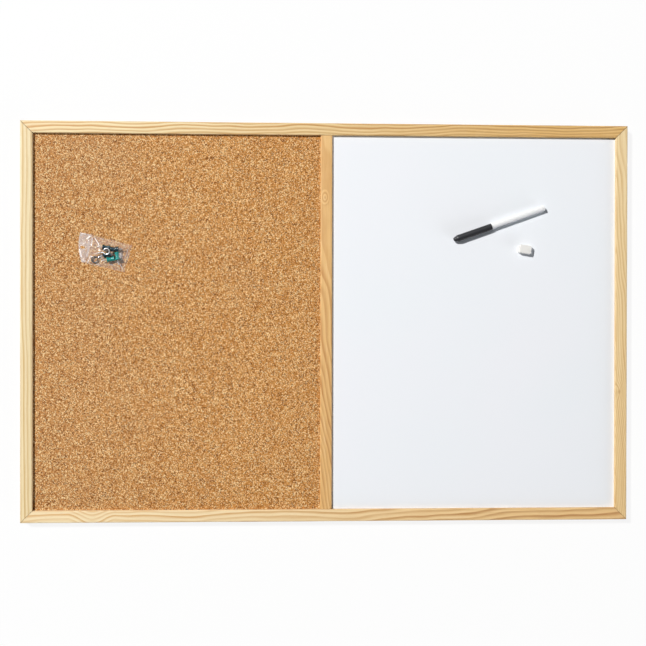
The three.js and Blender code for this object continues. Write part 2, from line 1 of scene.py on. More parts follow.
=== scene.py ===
import math
from types import SimpleNamespace
import bmesh
import bpy
import numpy as np
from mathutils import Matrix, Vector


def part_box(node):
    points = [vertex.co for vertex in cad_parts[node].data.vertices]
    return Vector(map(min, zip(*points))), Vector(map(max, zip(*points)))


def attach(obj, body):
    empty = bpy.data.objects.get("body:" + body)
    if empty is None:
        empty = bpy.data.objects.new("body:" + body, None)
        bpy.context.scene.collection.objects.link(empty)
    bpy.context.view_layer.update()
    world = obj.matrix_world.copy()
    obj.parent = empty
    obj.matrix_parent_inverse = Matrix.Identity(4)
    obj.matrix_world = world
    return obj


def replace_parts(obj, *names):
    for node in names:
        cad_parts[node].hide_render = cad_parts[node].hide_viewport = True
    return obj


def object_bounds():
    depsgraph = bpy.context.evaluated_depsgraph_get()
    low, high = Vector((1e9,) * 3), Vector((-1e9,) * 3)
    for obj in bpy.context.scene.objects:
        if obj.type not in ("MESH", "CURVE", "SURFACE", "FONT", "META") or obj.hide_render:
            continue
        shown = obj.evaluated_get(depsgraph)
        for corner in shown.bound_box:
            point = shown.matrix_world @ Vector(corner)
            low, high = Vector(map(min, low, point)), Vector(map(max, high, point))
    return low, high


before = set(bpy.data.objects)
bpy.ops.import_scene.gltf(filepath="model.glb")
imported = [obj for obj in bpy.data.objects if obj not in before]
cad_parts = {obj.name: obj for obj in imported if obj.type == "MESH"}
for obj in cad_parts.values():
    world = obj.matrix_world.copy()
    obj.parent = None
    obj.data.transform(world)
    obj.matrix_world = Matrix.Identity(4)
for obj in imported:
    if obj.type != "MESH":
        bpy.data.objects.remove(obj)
cad_low, cad_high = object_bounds()


# View and light. The board lies face up on a pale floor, and the camera looks down on it from
# 1.3 m, a little left of its middle. One small lamp high at the upper left casts short crisp
# shadows. A pale room, with a low bright card across from the lamp, fills them.
MM = 0.001
LENS = 48.32
SENSOR = 36
CAMERA_PLACE = (-0.0521, 0.0059, 1.3)
CAMERA_TURN = (-0.005307, -0.035659, 0.001677)
LAMP_BEARING = math.radians(143.7)
LAMP_HEIGHT = math.radians(47)
LAMP_DISTANCE = 10.5
LAMP_SIZE = 0.54
LAMP_WATTS = 1365
LAMP_COLOUR = (1.0, 0.985, 0.96)
ROOM_COLOUR = (0.93, 0.96, 1.0, 1.0)
ROOM_FILL = 0.03
HORIZON_FILL = 0.22
HORIZON_REACH = 0.6
CARD_HEIGHT = math.radians(3)
CARD_EDGE = (0.87, 0.98)
CARD_FILL = 5.5
MIRRORED_DARK = 0.06
MIRRORED_EDGE = (0.1, 0.95)
WHITE = (1.0, 1.0, 1.0, 1.0)


def stood(name, data):
    """A new object in the scene, at the origin."""
    made = bpy.data.objects.new(name, data)
    bpy.context.scene.collection.objects.link(made)
    return made


def way_to(bearing, height):
    """The direction of what stands at a bearing round the board and a height above the floor."""
    level = math.cos(height)
    return np.array([level * math.cos(bearing), level * math.sin(bearing), math.sin(height)])


class Field:
    """A number, colour or place that changes over a surface. Fields are added, subtracted,
    multiplied and divided as numbers are, and a place or colour axis by axis."""

    def __init__(self, tree, socket):
        self.tree = tree
        self.socket = socket

    def __add__(self, other):
        return worked("ADD", self, other)

    def __sub__(self, other):
        return worked("SUBTRACT", self, other)

    def __mul__(self, other):
        return worked("MULTIPLY", self, other)

    def __truediv__(self, other):
        return worked("DIVIDE", self, other)

    def __abs__(self):
        return worked("ABSOLUTE", self)


def add(tree, kind, inputs=None, output=0, **settings):
    """Puts in a node with its settings, and a value or a link for each input: one of its outputs."""
    made = tree.nodes.new(kind)
    for name, value in settings.items():
        setattr(made, name, value)
    for name, value in (inputs or {}).items():
        if isinstance(value, Field):
            tree.links.new(value.socket, made.inputs[name])
        else:
            made.inputs[name].default_value = value
    return Field(tree, made.outputs[output]) if made.outputs else None


def worked(operation, *parts):
    """One sum of fields and plain values, number by number or, with a place or colour, by axis."""
    fields = [part for part in parts if isinstance(part, Field)]
    kind = "ShaderNodeMath"
    if any(field.socket.type in ("VECTOR", "RGBA") for field in fields):
        kind = "ShaderNodeVectorMath"
        parts = [(part,) * 3 if np.isscalar(part) else part for part in parts]
    return add(fields[0].tree, kind, dict(enumerate(parts)), operation=operation)


def spread(value, low, high, start=0.0, end=1.0):
    """A value carried from low..high to start..end along a smooth step, and held beyond."""
    inputs = {"Value": value, "From Min": low, "From Max": high, "To Min": start, "To Max": end}
    return add(value.tree, "ShaderNodeMapRange", inputs, interpolation_type="SMOOTHSTEP")


def facing(way, other):
    """The cosine of the angle between two directions."""
    return add(way.tree, "ShaderNodeVectorMath", {0: way, 1: other}, "Value", operation="DOT_PRODUCT")


def axis(place, name):
    """One of a place's numbers: its X, Y or Z."""
    return add(place.tree, "ShaderNodeSeparateXYZ", {0: place}, name)


def rays(tree, *kinds):
    """1 for light of the kinds named, and 0 for the rest."""
    found = [add(tree, "ShaderNodeLightPath", output=f"Is {kind} Ray") for kind in kinds]
    share = found[0]
    for other in found[1:]:
        share = worked("MAXIMUM", share, other)
    return share


def colour(code):
    """A written colour such as #dfc08a as the light it gives back, red, green, blue and 1."""
    shares = np.array([int(code[i:i + 2], 16) for i in (1, 3, 5)]) / 255
    light = np.where(shares <= 0.04045, shares / 12.92, ((shares + 0.055) / 1.055) ** 2.4)
    return (*(float(x) for x in light), 1.0)


def mixed(share, first, second, kind="MIX"):
    """Two colours, fields or written ones, mixed by a share."""
    first, second = (colour(tint) if isinstance(tint, str) else tint for tint in (first, second))
    tree = next(part.tree for part in (share, first, second) if isinstance(part, Field))
    return add(tree, "ShaderNodeMix", {0: share, 6: first, 7: second}, 2, data_type="RGBA", blend_type=kind)


camera_data = bpy.data.cameras.new("camera")
camera_data.sensor_width = SENSOR
camera_data.lens = LENS
camera = stood("camera", camera_data)
camera.location = CAMERA_PLACE
camera.rotation_euler = CAMERA_TURN
bpy.context.scene.camera = camera
bpy.context.scene.view_settings.view_transform = "Standard"

lamp_way = way_to(LAMP_BEARING, LAMP_HEIGHT)
lamp_data = bpy.data.lights.new("key lamp", "AREA")
lamp_data.shape = "DISK"
lamp_data.size = LAMP_SIZE
lamp_data.energy = LAMP_WATTS
lamp_data.color = LAMP_COLOUR
lamp = stood("key lamp", lamp_data)
lamp.location = lamp_way * LAMP_DISTANCE
lamp.rotation_euler = (math.pi / 2 - LAMP_HEIGHT, 0, LAMP_BEARING + math.pi / 2)

room = bpy.data.worlds.new("pale room")
bpy.context.scene.world = room
room.use_nodes = True
tree = room.node_tree
tree.nodes.clear()
way = add(tree, "ShaderNodeTexCoord", output="Generated")
card = spread(facing(way, way_to(LAMP_BEARING + math.pi, CARD_HEIGHT)), *CARD_EDGE, 0.0, CARD_FILL)
fill = spread(axis(way, "Z"), 0.0, HORIZON_REACH, HORIZON_FILL, ROOM_FILL) + card
reflected = spread(facing(way, lamp_way), *MIRRORED_EDGE, MIRRORED_DARK, 1.0)
unseen = rays(tree, "Glossy", "Transmission") * (reflected - fill) + fill
camera_rays = rays(tree, "Camera")
background = add(tree, "ShaderNodeBackground", {
    "Color": mixed(camera_rays, ROOM_COLOUR, WHITE), "Strength": worked("MAXIMUM", camera_rays, unseen)})
add(tree, "ShaderNodeOutputWorld", {"Surface": background})

FLOOR_REACH = 6.0
FLOOR_DROP = 0.05 * MM
FLOOR_GLOW = 0.88
FLOOR_COLOUR = (0.86, 0.87, 0.88, 1.0)
floor_mesh = bpy.data.meshes.new("floor")
corners = [(x * FLOOR_REACH, y * FLOOR_REACH, -FLOOR_DROP) for x, y in ((-1, -1), (1, -1), (1, 1), (-1, 1))]
floor_mesh.from_pydata(corners, [], [(0, 1, 2, 3)])
floor = stood("floor", floor_mesh)
floor_paint = bpy.data.materials.new("pale floor")
floor_paint.use_nodes = True
tree = floor_paint.node_tree
tree.nodes.clear()
seen = rays(tree, "Camera", "Glossy", "Transmission")
matt = add(tree, "ShaderNodeBsdfDiffuse", {"Color": FLOOR_COLOUR})
glow = add(tree, "ShaderNodeEmission", {"Color": WHITE, "Strength": 1.0})
blend = add(tree, "ShaderNodeMixShader", {0: seen * FLOOR_GLOW, 1: matt, 2: glow})
add(tree, "ShaderNodeOutputMaterial", {"Surface": blend})
floor_mesh.materials.append(floor_paint)


# Frame. Four lengths of planed pine moulding, L in section, mitred and glued at the corners and
# oiled clear. Each is sawn from another plank, so each has its own run of growth rings.
MERGE = 0.0005 * MM
LIP_GAP = 0.1 * MM
PANEL_EDGE_GAP = 1 * MM
MITRE_GAP = 0.3 * MM
FRONT_ROUND = 2.6 * MM
LIP_FRONT_ROUND = 1.4 * MM
LIP_ROUND = 0.3 * MM
BACK_ROUND = 0.8 * MM
PLANING_DEPTH = 0.12 * MM
PLANING_WAVES = (31, 73)
RAIL_STATIONS = 91
SLOT_GAP = 0.3 * MM
NAIL_THICKNESS = 0.6 * MM
CRISP_ANGLE = math.radians(38)
GRAIN_DEPTH = 0.12 * MM
# Mitre line: real glue plus painted shade of the mitre gap, darker at the top corners
GLUE_AND_SHADE_LINE = (0.3 * MM, 1.1 * MM)
GLUE_AND_SHADE_SHARES = (0.25, 0.55)
GLUE_AND_SHADE_RUN = 0.1
COLOUR_RUN = 0.4

board_width = cad_high.x - cad_low.x
board_height = cad_high.y - cad_low.y
half_width = board_width / 2
half_height = board_height / 2
rail_low, rail_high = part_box("bottom_rail")
rail_width = rail_high.y - rail_low.y
frame_depth = rail_high.z
face_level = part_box("cork_sheet")[1].z
lip_level = face_level + LIP_GAP
rebate = half_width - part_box("back_panel")[1].x - PANEL_EDGE_GAP


def effect(name, **inputs):
    """An empty effect with a usual value for each input: its tree, and the fields it is given."""
    tree = bpy.data.node_groups.new(name, "ShaderNodeTree")
    inputs = {"Vector": (0.0, 0.0, 0.0), **inputs}
    for label, value in inputs.items():
        kind = {1: "NodeSocketFloat", 3: "NodeSocketVector", 4: "NodeSocketColor"}[np.size(value)]
        socket = tree.interface.new_socket(label.replace("_", " "), in_out="INPUT", socket_type=kind)
        socket.default_value = value
    for label, kind in (("Color", "Color"), ("Height", "Float"), ("Roughness", "Float")):
        tree.interface.new_socket(label, in_out="OUTPUT", socket_type="NodeSocket" + kind)
    sockets = tree.nodes.new("NodeGroupInput").outputs
    given = {label: Field(tree, sockets[label.replace("_", " ")]) for label in inputs}
    return tree, SimpleNamespace(**given)


def gives(tree, tint, height, roughness):
    """Ends an effect with the colour, height and roughness that it puts out."""
    add(tree, "NodeGroupOutput", {"Color": tint, "Height": height, "Roughness": roughness})


def applied(tree, place, **values):
    """An effect set into a material with its own values: its colour, height and roughness."""
    inputs = {"Vector": place, **{label.replace("_", " "): value for label, value in values.items()}}
    sockets = add(place.tree, "ShaderNodeGroup", inputs, node_tree=tree).socket.node.outputs
    return [Field(place.tree, socket) for socket in sockets]


def finish(name, **values):
    """A material with the values that are the same all over it, and the places that it reads."""
    material = bpy.data.materials.new(name)
    material.use_nodes = True
    shader = material.node_tree.nodes["Principled BSDF"]
    for socket, value in values.items():
        shader.inputs[socket.replace("_", " ")].default_value = value
    return material, add(material.node_tree, "ShaderNodeTexCoord", output="Object")


def show(material, tint, height, roughness=None, alpha=None, depth=0.0, strength=1.0):
    """Leads what changes over a surface to its shader. Light falls on the surface as if it rose by
    height, from 0 to 1, times a real depth."""
    tree = material.node_tree
    shader = tree.nodes["Principled BSDF"].inputs
    bump = add(tree, "ShaderNodeBump", {"Height": height, "Distance": depth, "Strength": strength})
    for name, field in {"Base Color": tint, "Roughness": roughness, "Alpha": alpha, "Normal": bump}.items():
        if field is not None:
            tree.links.new(field.socket, shader[name])


def length_of(vector):
    """How long a vector is."""
    return add(vector.tree, "ShaderNodeVectorMath", {0: vector}, "Value", operation="LENGTH")


def held(value, low=0.0, high=1.0):
    """A value kept between two others."""
    return add(value.tree, "ShaderNodeClamp", {0: value, 1: low, 2: high})


def noise(place, scale, detail=2.0, roughness=0.5, output=0):
    """Soft noise of about 0 to 1, its scale in lumps per metre, the same or for each axis. Output 1
    is three such noises, as a colour."""
    inputs = {"Vector": place * scale, "Scale": 1.0, "Detail": detail, "Roughness": roughness}
    return add(place.tree, "ShaderNodeTexNoise", inputs, output)


# Growth rings: the distance from a pith line that leans and wanders along the plank, divided by
# the ring width. A bulge pushes the rings aside over a short length, as beside a knot, and a sweep
# carries them across between two places. Each ring goes from pale early wood to a dark late edge.
# X is along the plank, Y inwards from its outer edge, Z up. A place 8 or 9 m out is off the plank.
WANDER_LUMPS = (6.0, 18.0, 18.0)
FIBRE_LUMPS = (14.0, 900.0, 900.0)
STREAK_LUMPS = (9.0, 240.0, 240.0)
HAIR_LUMPS = (70.0, 3600.0, 3600.0)
RESIN_LUMPS = (130.0, 2300.0, 2300.0)
DRIFT_LUMPS = (5.0, 60.0, 60.0)
KNOT_SHAPE = (0.55, 1.0, 0.4)
DARKENING = (0.2, 0.78)
RING_EDGE = (0.84, 1.0)
pine_grain, given = effect(
    "pine grain", Pith=(0.0, 0.0, 0.0), Lean=(0.0, 0.0, 0.0), Ring_Width=0.004, Wander=0.002,
    Late_Wood=0.6, Pale=colour("#f3dfb4"), Dark=colour("#cda569"), Bulge_Place=9.0, Bulge_Length=0.03,
    Bulge_Rings=0.0, Sweep_From=8.0, Sweep_To=9.0, Sweep_Rings=0.0, Knot=(9.0, 0.0, 0.0), Knot_Size=0.003)
place = given.Vector
along = axis(place, "X")
wander = (noise(place, WANDER_LUMPS, 2.5, output=1) - 0.5) * given.Wander
from_pith = place - (given.Pith + given.Lean * along) + wander
radius = length_of(from_pith * (0.0, 1.0, 1.0))
to_bulge = abs(along - given.Bulge_Place) / given.Bulge_Length
bulge = spread(to_bulge, 0.0, 1.0, 1.0, 0.0) * given.Bulge_Rings
sweep = spread(along, given.Sweep_From, given.Sweep_To) * given.Sweep_Rings
from_knot = length_of((place - given.Knot) * KNOT_SHAPE) / given.Knot_Size
swirl = spread(from_knot, 0.4, 5.0, 1.6, 0.0)
ring = radius / given.Ring_Width + (swirl + (sweep + bulge))
within = worked("FRACT", ring)
ring_strength = add(pine_grain, "ShaderNodeTexWhiteNoise", {"W": worked("FLOOR", ring)}, "Value",
                    noise_dimensions="1D")
late = spread(within, *DARKENING) * spread(within, *RING_EDGE, 1.0, 0.0)
late = late * spread(ring_strength, 0.0, 1.0, 0.55, 1.0)
fibres = noise(place, FIBRE_LUMPS, 3.0, 0.6)
streaks = noise(place, STREAK_LUMPS, 3.0, 0.6)
hairs = noise(place, HAIR_LUMPS, 2.0, 0.6)
resin = spread(noise(place, RESIN_LUMPS, 1.0), 0.66, 0.74)
drift = noise(place, DRIFT_LUMPS)
tone = late * given.Late_Wood + ((streaks - 0.5) * 0.75 + (fibres - 0.5) * 0.5)
tone = held(tone, -0.35, 1.3)
wood = mixed(spread(tone, -0.3, 0.0, 0.25, 0.0), given.Pale, "#fff3d6")
wood = mixed(held(tone), wood, given.Dark)
wood = mixed(spread(drift, 0.45, 0.75, 0.0, 0.3), wood, mixed(0.5, wood, "#d79b58"))
wood = mixed(resin * 0.22, wood, "#a87a45")
wood = mixed(spread(hairs, 0.3, 0.7) * 0.12, wood, "#fbeccb")
wood = mixed(spread(from_knot, 0.2, 1.3, 1.0, 0.0) * 0.4, wood, "#a8703a")
gives(pine_grain, wood, (late * 0.5 + hairs * 0.5) - resin * 0.4, fibres * 0.25 + 0.36)


def pine_finish(name, quarter_turns, reach, pale, dark, **values):
    """Oiled pine whose grain runs along one side of the board. Its pale and its dark wood go from the first
    to the second colour along the side, and a dark line at the mitres, real glue with painted shade of the
    gap, darkens them, more at the top corners."""
    material, place = finish(name, Specular_IOR_Level=0.35)
    turned_place = add(place.tree, "ShaderNodeMapping", {
        "Vector": place, "Location": (0.0, reach, 0.0),
        "Rotation": (0.0, 0.0, -quarter_turns * math.pi / 2)})
    far = spread(axis(turned_place, "X"), -COLOUR_RUN, COLOUR_RUN)
    wood, height, roughness = applied(
        pine_grain, turned_place, Pale=mixed(far, *pale), Dark=mixed(far, *dark), **values)
    up = axis(place, "Y")
    from_mitre = abs(abs(axis(place, "X")) - abs(up) - (half_width - half_height))
    # The dark mitre line is glue plus painted shade of the gap, stronger at the top corners
    glue_and_shade = spread(from_mitre, *GLUE_AND_SHADE_LINE, 1.0, 0.0) * spread(up, -GLUE_AND_SHADE_RUN, GLUE_AND_SHADE_RUN, *GLUE_AND_SHADE_SHARES)
    show(material, mixed(glue_and_shade, wood, "#6b4522"), height, roughness, depth=GRAIN_DEPTH, strength=0.6)
    return material


def rounded(corners, radii, steps=7):
    """Closed outline with its corners eased. A corner P between A and B becomes the curve
    (1-t)^2 (P + r a) + 2t(1-t) P + t^2 (P + r b), where a and b point from P to A and to B."""
    corner = np.array(corners, float)
    to_last = np.roll(corner, 1, 0) - corner
    to_next = np.roll(corner, -1, 0) - corner
    reach = np.array(radii, float)[:, None]
    first = corner + reach * to_last / np.linalg.norm(to_last, axis=1, keepdims=True)
    last = corner + reach * to_next / np.linalg.norm(to_next, axis=1, keepdims=True)
    t = np.linspace(0, 1, steps)[None, :, None]
    curve = (1 - t) ** 2 * first[:, None] + 2 * t * (1 - t) * corner[:, None] + t ** 2 * last[:, None]
    return curve.reshape(-1, 2)


def grid_faces(rows, columns, closed=False):
    """Quads between neighbours in a grid of points whose columns go round: row r and column c meet
    r + 1 and c + 1. The rows go round too if the grid closes on itself."""
    row = np.arange(rows if closed else rows - 1)[:, None]
    column = np.arange(columns)[None, :]
    next_row, next_column = (row + 1) % rows, (column + 1) % columns
    corners = [row * columns + column, row * columns + next_column,
               next_row * columns + next_column, next_row * columns + column]
    return np.stack(np.broadcast_arrays(*corners), -1).reshape(-1, 4)


def mesh_piece(name, points, faces, material, body, haze_and_highlight=None):
    """A smooth piece at the origin: doubles merged, faces turned outwards, steep edges crisp. A piece given
    haze and highlight is soft all over, and carries that whiteness, real haze with painted highlights, at
    each of its points."""
    mesh = bpy.data.meshes.new(name)
    mesh.from_pydata(points.reshape(-1, 3).tolist(), [], faces)
    if haze_and_highlight is not None:
        marks = mesh.attributes.new("haze_and_highlight", "FLOAT", "POINT")
        marks.data.foreach_set("value", haze_and_highlight.reshape(-1).astype(np.float32))
    shape = bmesh.new()
    shape.from_mesh(mesh)
    bmesh.ops.remove_doubles(shape, verts=shape.verts, dist=MERGE)
    if haze_and_highlight is None:
        bmesh.ops.dissolve_degenerate(shape, edges=shape.edges, dist=MERGE)
    loose_points = [vertex for vertex in shape.verts if not vertex.link_faces]
    bmesh.ops.delete(shape, geom=loose_points, context="VERTS")
    bmesh.ops.recalc_face_normals(shape, faces=shape.faces)
    shape.to_mesh(mesh)
    shape.free()
    mesh.shade_smooth()
    if haze_and_highlight is None:
        mesh.set_sharp_from_angle(angle=CRISP_ANGLE)
    mesh.materials.append(material)
    piece = stood(name, mesh)
    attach(piece, body)
    return piece


def loft(name, rings, material, body, closed=False):
    """Rings of points joined one to the next, with a face over each end unless it closes on itself."""
    rows, columns = rings.shape[:2]
    faces = grid_faces(rows, columns, closed).tolist()
    if not closed:
        faces += [list(range(columns)), list(range((rows - 1) * columns, rows * columns))]
    return mesh_piece(name, rings, faces, material, body)


def turned_about_z(points, turn):
    """Points turned by an angle about the upright axis."""
    c, s = math.cos(turn), math.sin(turn)
    return points @ np.array([[c, -s, 0], [s, c, 0], [0, 0, 1]]).T


def slot_block(low, high):
    """A plain block that only stands for the space of a slot while it is cut."""
    pick = np.array([[x, y, z] for x in (0, 1) for y in (0, 1) for z in (0, 1)])
    corners = np.where(pick, high + SLOT_GAP, low - SLOT_GAP)
    faces = [(0, 1, 3, 2), (4, 6, 7, 5), (0, 4, 5, 1), (2, 3, 7, 6), (0, 2, 6, 4), (1, 5, 7, 3)]
    mesh = bpy.data.meshes.new("slot")
    mesh.from_pydata(corners.tolist(), [], faces)
    return stood("slot", mesh)


def cut_out(piece, blocks):
    """Takes the blocks' space out of a piece and keeps the result as its mesh."""
    for block in blocks:
        cut = piece.modifiers.new("slot", "BOOLEAN")
        cut.operation = "DIFFERENCE"
        cut.object = block
    settled = piece.evaluated_get(bpy.context.evaluated_depsgraph_get())
    mesh = bpy.data.meshes.new_from_object(settled)
    piece.modifiers.clear()
    piece.data = mesh
    mesh.shade_smooth()
    mesh.set_sharp_from_angle(angle=CRISP_ANGLE)
    for block in blocks:
        bpy.data.objects.remove(block)


def slots_near(name):
    """Blocks for the points, and for both legs of the nails, that are let into one side."""
    low, high = (np.array(corner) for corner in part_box(name))
    blocks = []
    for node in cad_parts:
        if not node.startswith(("corner_nail", "back_point")):
            continue
        own_low, own_high = (np.array(corner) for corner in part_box(node))
        if np.any(own_low > high) or np.any(own_high < low):
            continue
        if node.startswith("back_point"):
            blocks.append(slot_block(own_low, own_high))
            continue
        outward = np.sign(own_low + own_high)
        for across in (0, 1):
            leg_low, leg_high = own_low.copy(), own_high.copy()
            if outward[across] > 0:
                leg_low[across] = leg_high[across] - NAIL_THICKNESS
            else:
                leg_high[across] = leg_low[across] + NAIL_THICKNESS
            leg_low[2] -= frame_depth
            blocks.append(slot_block(leg_low, leg_high))
    return blocks


def frame_side(name, quarter_turns, length, reach, material, phase):
    """One side of the frame. Its section is carried along X by s(L/2 - inward), s from -1 to 1, so
    that both ends slope as mitres, and is then turned round to its own edge of the board. The
    plane leaves waves in it, the mean of two sine waves along it, deepest at its front."""
    corners = [(0, 0), (rebate, 0), (rebate, lip_level), (rail_width, lip_level),
               (rail_width, frame_depth), (0, frame_depth)]
    radii = [BACK_ROUND, LIP_ROUND, LIP_ROUND, LIP_ROUND, LIP_FRONT_ROUND, FRONT_ROUND]
    inward, height = rounded(corners, radii).T
    s = np.linspace(-1, 1, RAIL_STATIONS)[:, None]
    along = s * (length / 2 - inward - MITRE_GAP / math.sqrt(2))
    first, second = (np.sin(wave * along + (i + 1) * phase) for i, wave in enumerate(PLANING_WAVES))
    planing = PLANING_DEPTH * (0.5 + 0.25 * first + 0.25 * second)
    planed = height - planing * (height / frame_depth) ** 4
    eased = inward + planing * (1 - inward / rail_width) ** 4
    rings = turned_about_z(np.stack([along, eased - reach, planed], -1), quarter_turns * math.pi / 2)
    piece = loft(name + "_wood", rings, material, "board")
    cut_out(piece, slots_near(name))
    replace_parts(piece, name)


# The sides in turn from the bottom one, counterclockwise: pale wood and dark wood from end to end,
# the phase of the planing, and the run of the grain
SIDES = [
    ("bottom_rail", ("#efdbb2", "#e5bf85"), ("#cf9f62", "#ac7840"), 0.4, dict(
        Pith=(0.0, -0.036, -0.05), Lean=(0.0, 0.004, 0.0), Ring_Width=0.0042, Wander=0.014, Late_Wood=0.9,
        Bulge_Place=-0.346, Bulge_Length=0.036, Bulge_Rings=2.2,
        Sweep_From=-0.06, Sweep_To=0.42, Sweep_Rings=-3.6)),
    ("right_stile", ("#e5c58d", "#ebd3a4"), ("#bd8f53", "#cba46a"), 1.7, dict(
        Pith=(0.0, -0.03, -0.04), Lean=(0.0, 0.09, 0.0), Ring_Width=0.0021, Wander=0.01, Late_Wood=0.7,
        Knot=(-0.103, 0.012, 0.018), Knot_Size=0.0022)),
    ("top_rail", ("#dbb26e", "#e9d7aa"), ("#b08143", "#c49354"), 2.9, dict(
        Pith=(0.0, -0.05, -0.05), Lean=(0.0, 0.012, 0.0), Ring_Width=0.0034, Wander=0.014, Late_Wood=1.2)),
    ("left_stile", ("#e3d2a9", "#e5d1a6"), ("#c9a76d", "#c5a166"), 4.2, dict(
        Pith=(0.0, 0.06, -0.05), Lean=(0.0, 0.006, 0.0), Ring_Width=0.0034, Wander=0.006, Late_Wood=0.9)),
]
for quarter_turns, (name, pale, dark, phase, grain) in enumerate(SIDES):
    upright = quarter_turns % 2
    length, reach = (board_height, half_width) if upright else (board_width, half_height)
    pine = pine_finish("pine " + name.replace("_", " "), quarter_turns, reach, pale, dark, **grain)
    frame_side(name, quarter_turns, length, reach, pine, phase)


# Corner nails. V shaped steel nails, pressed into slots across each mitre from the back, and
# zinc plated, with the fine scratches of the press.
PLATING_DEPTH = 0.02 * MM
plated_metal, given = effect(
    "plated metal", Bright=colour("#d6d8da"), Dull=colour("#9fa3a6"), Scratch_Scale=900.0)
clouds = noise(given.Vector, 350.0, 3.0, 0.6)
lines = add(plated_metal, "ShaderNodeTexNoise", {
    "Vector": given.Vector * (1.0, 6.0, 1.0), "Scale": given.Scratch_Scale, "Detail": 3.0,
    "Distortion": 0.6})
scratch = spread(lines, 0.58, 0.66)
lustre = mixed(spread(clouds, 0.35, 0.7), given.Bright, given.Dull)
gives(plated_metal, lustre, clouds * 0.5 - scratch, scratch * 0.15 + (clouds * 0.18 + 0.12))


def metal_finish(name, bright, dull, scratch_scale):
    """Plated steel with cloudy lustre and fine scratches."""
    material, place = finish(name, Metallic=1.0)
    plating = applied(plated_metal, place, Bright=colour(bright), Dull=colour(dull),
                      Scratch_Scale=scratch_scale)
    show(material, *plating, depth=PLATING_DEPTH, strength=0.5)
    return material


def dress(material, *starts):
    """Gives CAD nodes, whose shapes are right as they are, their finish. A start stands for each
    node whose name begins with it."""
    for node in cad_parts:
        if node.startswith(starts):
            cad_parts[node].material_slots[0].material = material


zinc = metal_finish("zinc plated steel", "#c9cccf", "#8f9496", 700.0)
dress(zinc, "corner_nail")


# Cork half. A sheet of pressed cork granules, ground flat, on a soft fibreboard core. The granules are 1 to
# 3 mm across, golden to dark brown, with pits where one has fallen out. The pits are darkened with painted
# shade, and winding cream and brown lines along the granules are painted highlights and painted shade.
GRANULES = 520.0
CRUMBS = 720.0
PITS = 320.0
GRIT = 1900.0
RAGGED_LUMPS = 420.0
RAGGED_EDGE = 3 * MM
CORK_RELIEF = 0.6 * MM
FIBREBOARD_RELIEF = 0.2 * MM
CORK_TONES = [(0.08, "#80502b"), (0.3, "#bc8144"), (0.5, "#cc9252"), (0.7, "#d79f5c"), (0.92, "#ecca92")]


def cells(place, scale, output, scatter=1.0, **settings):
    """Cells round scattered points, so many per metre: their colours, or distances within them."""
    inputs = {"Vector": place, "Scale": scale, "Randomness": scatter}
    return add(place.tree, "ShaderNodeTexVoronoi", inputs, output, **settings)


def cell_tone(place, scale, channel):
    """A number from 0 to 1 drawn for each cell."""
    return add(place.tree, "ShaderNodeSeparateColor", {0: cells(place, scale, "Color")}, channel)


def toned(pattern, first, second):
    """Two colours mixed by a soft pattern, so that each has about half of the surface."""
    return mixed(spread(pattern, 0.3, 0.7), first, second)


def winding_lines(place, scale, width, share, tone, tones):
    """Thin winding lines where soft noise passes its middle, on cells whose tone is high enough."""
    gap = abs(noise(place, scale, 1.0) - 0.5)
    return spread(gap, *width, share, 0.0) * spread(tone, *tones)


cork, place = finish("pressed cork", Roughness=0.85, Specular_IOR_Level=0.2)
ragged = place + (noise(place, RAGGED_LUMPS, output=1) - 0.5) * RAGGED_EDGE
granule_tone = cell_tone(ragged, GRANULES, 0)
crumb_tone = cell_tone(ragged, CRUMBS, 1)
seam = cells(ragged, GRANULES, "Distance", feature="DISTANCE_TO_EDGE")
tone = (granule_tone - 0.5) * 0.12 + ((crumb_tone - 0.5) * 0.5 + 0.5)
granules = add(place.tree, "ShaderNodeValToRGB", {0: tone})
stops = granules.socket.node.color_ramp.elements
for _ in CORK_TONES[2:]:
    stops.new(0.5)
for stop, (position, code) in zip(stops, CORK_TONES):
    stop.position = position
    stop.color = colour(code)
pink = spread(axis(place, "X"), -0.45, -0.1, 0.6, 0.0) + spread(noise(place, 7.0), 0.5, 0.75, 0.0, 0.35)
# Winding lines along the granules: cream ones are painted highlights on their edges, brown ones painted
# shade beside them
brown_shade_line = winding_lines(place * (1.0, -1.0, 1.0), 350.0, (0.025, 0.08), 0.9, granule_tone, (0.4, 0.48))
cream_highlight_line = winding_lines(place, 330.0, (0.02, 0.075), 0.82, crumb_tone, (0.42, 0.52))
# Pits where a granule has fallen out: sunk in the relief, and painted dark as shade in the hole
pits_and_shade = spread(cell_tone(ragged, PITS, 2), 0.84, 0.9)
pits_and_shade = pits_and_shade * spread(cells(ragged, PITS, "Distance"), 0.16, 0.32, 1.0, 0.0)
grit = noise(place, GRIT, 3.0, 0.6)
tint = mixed(pink, granules, mixed(0.28, granules, "#a98a74"))
tint = mixed(brown_shade_line, tint, "#693710")
tint = mixed(cream_highlight_line, tint, "#fde6b9")
# Painted shade in the pits
tint = mixed(pits_and_shade * 0.6, tint, "#5c361b")
tint = mixed(0.25, tint, mixed(grit, "#7d5330", "#f3d5a2"), "SOFT_LIGHT")
relief = grit * 0.25 + (granule_tone * 0.5 + spread(seam, 0.0, 0.2, 0.0, 0.3)) - pits_and_shade
show(cork, tint, relief, depth=CORK_RELIEF, strength=0.9)
dress(cork, "cork_sheet")

fibreboard, place = finish("soft fibreboard", Roughness=0.95, Specular_IOR_Level=0.15)
strands = noise(place, (500.0, 500.0, 2600.0), 4.0, 0.65)
show(fibreboard, toned(strands, "#8f6f4c", "#c9a77c"), strands, depth=FIBREBOARD_RELIEF)
dress(fibreboard, "cork_core", "whiteboard_core")


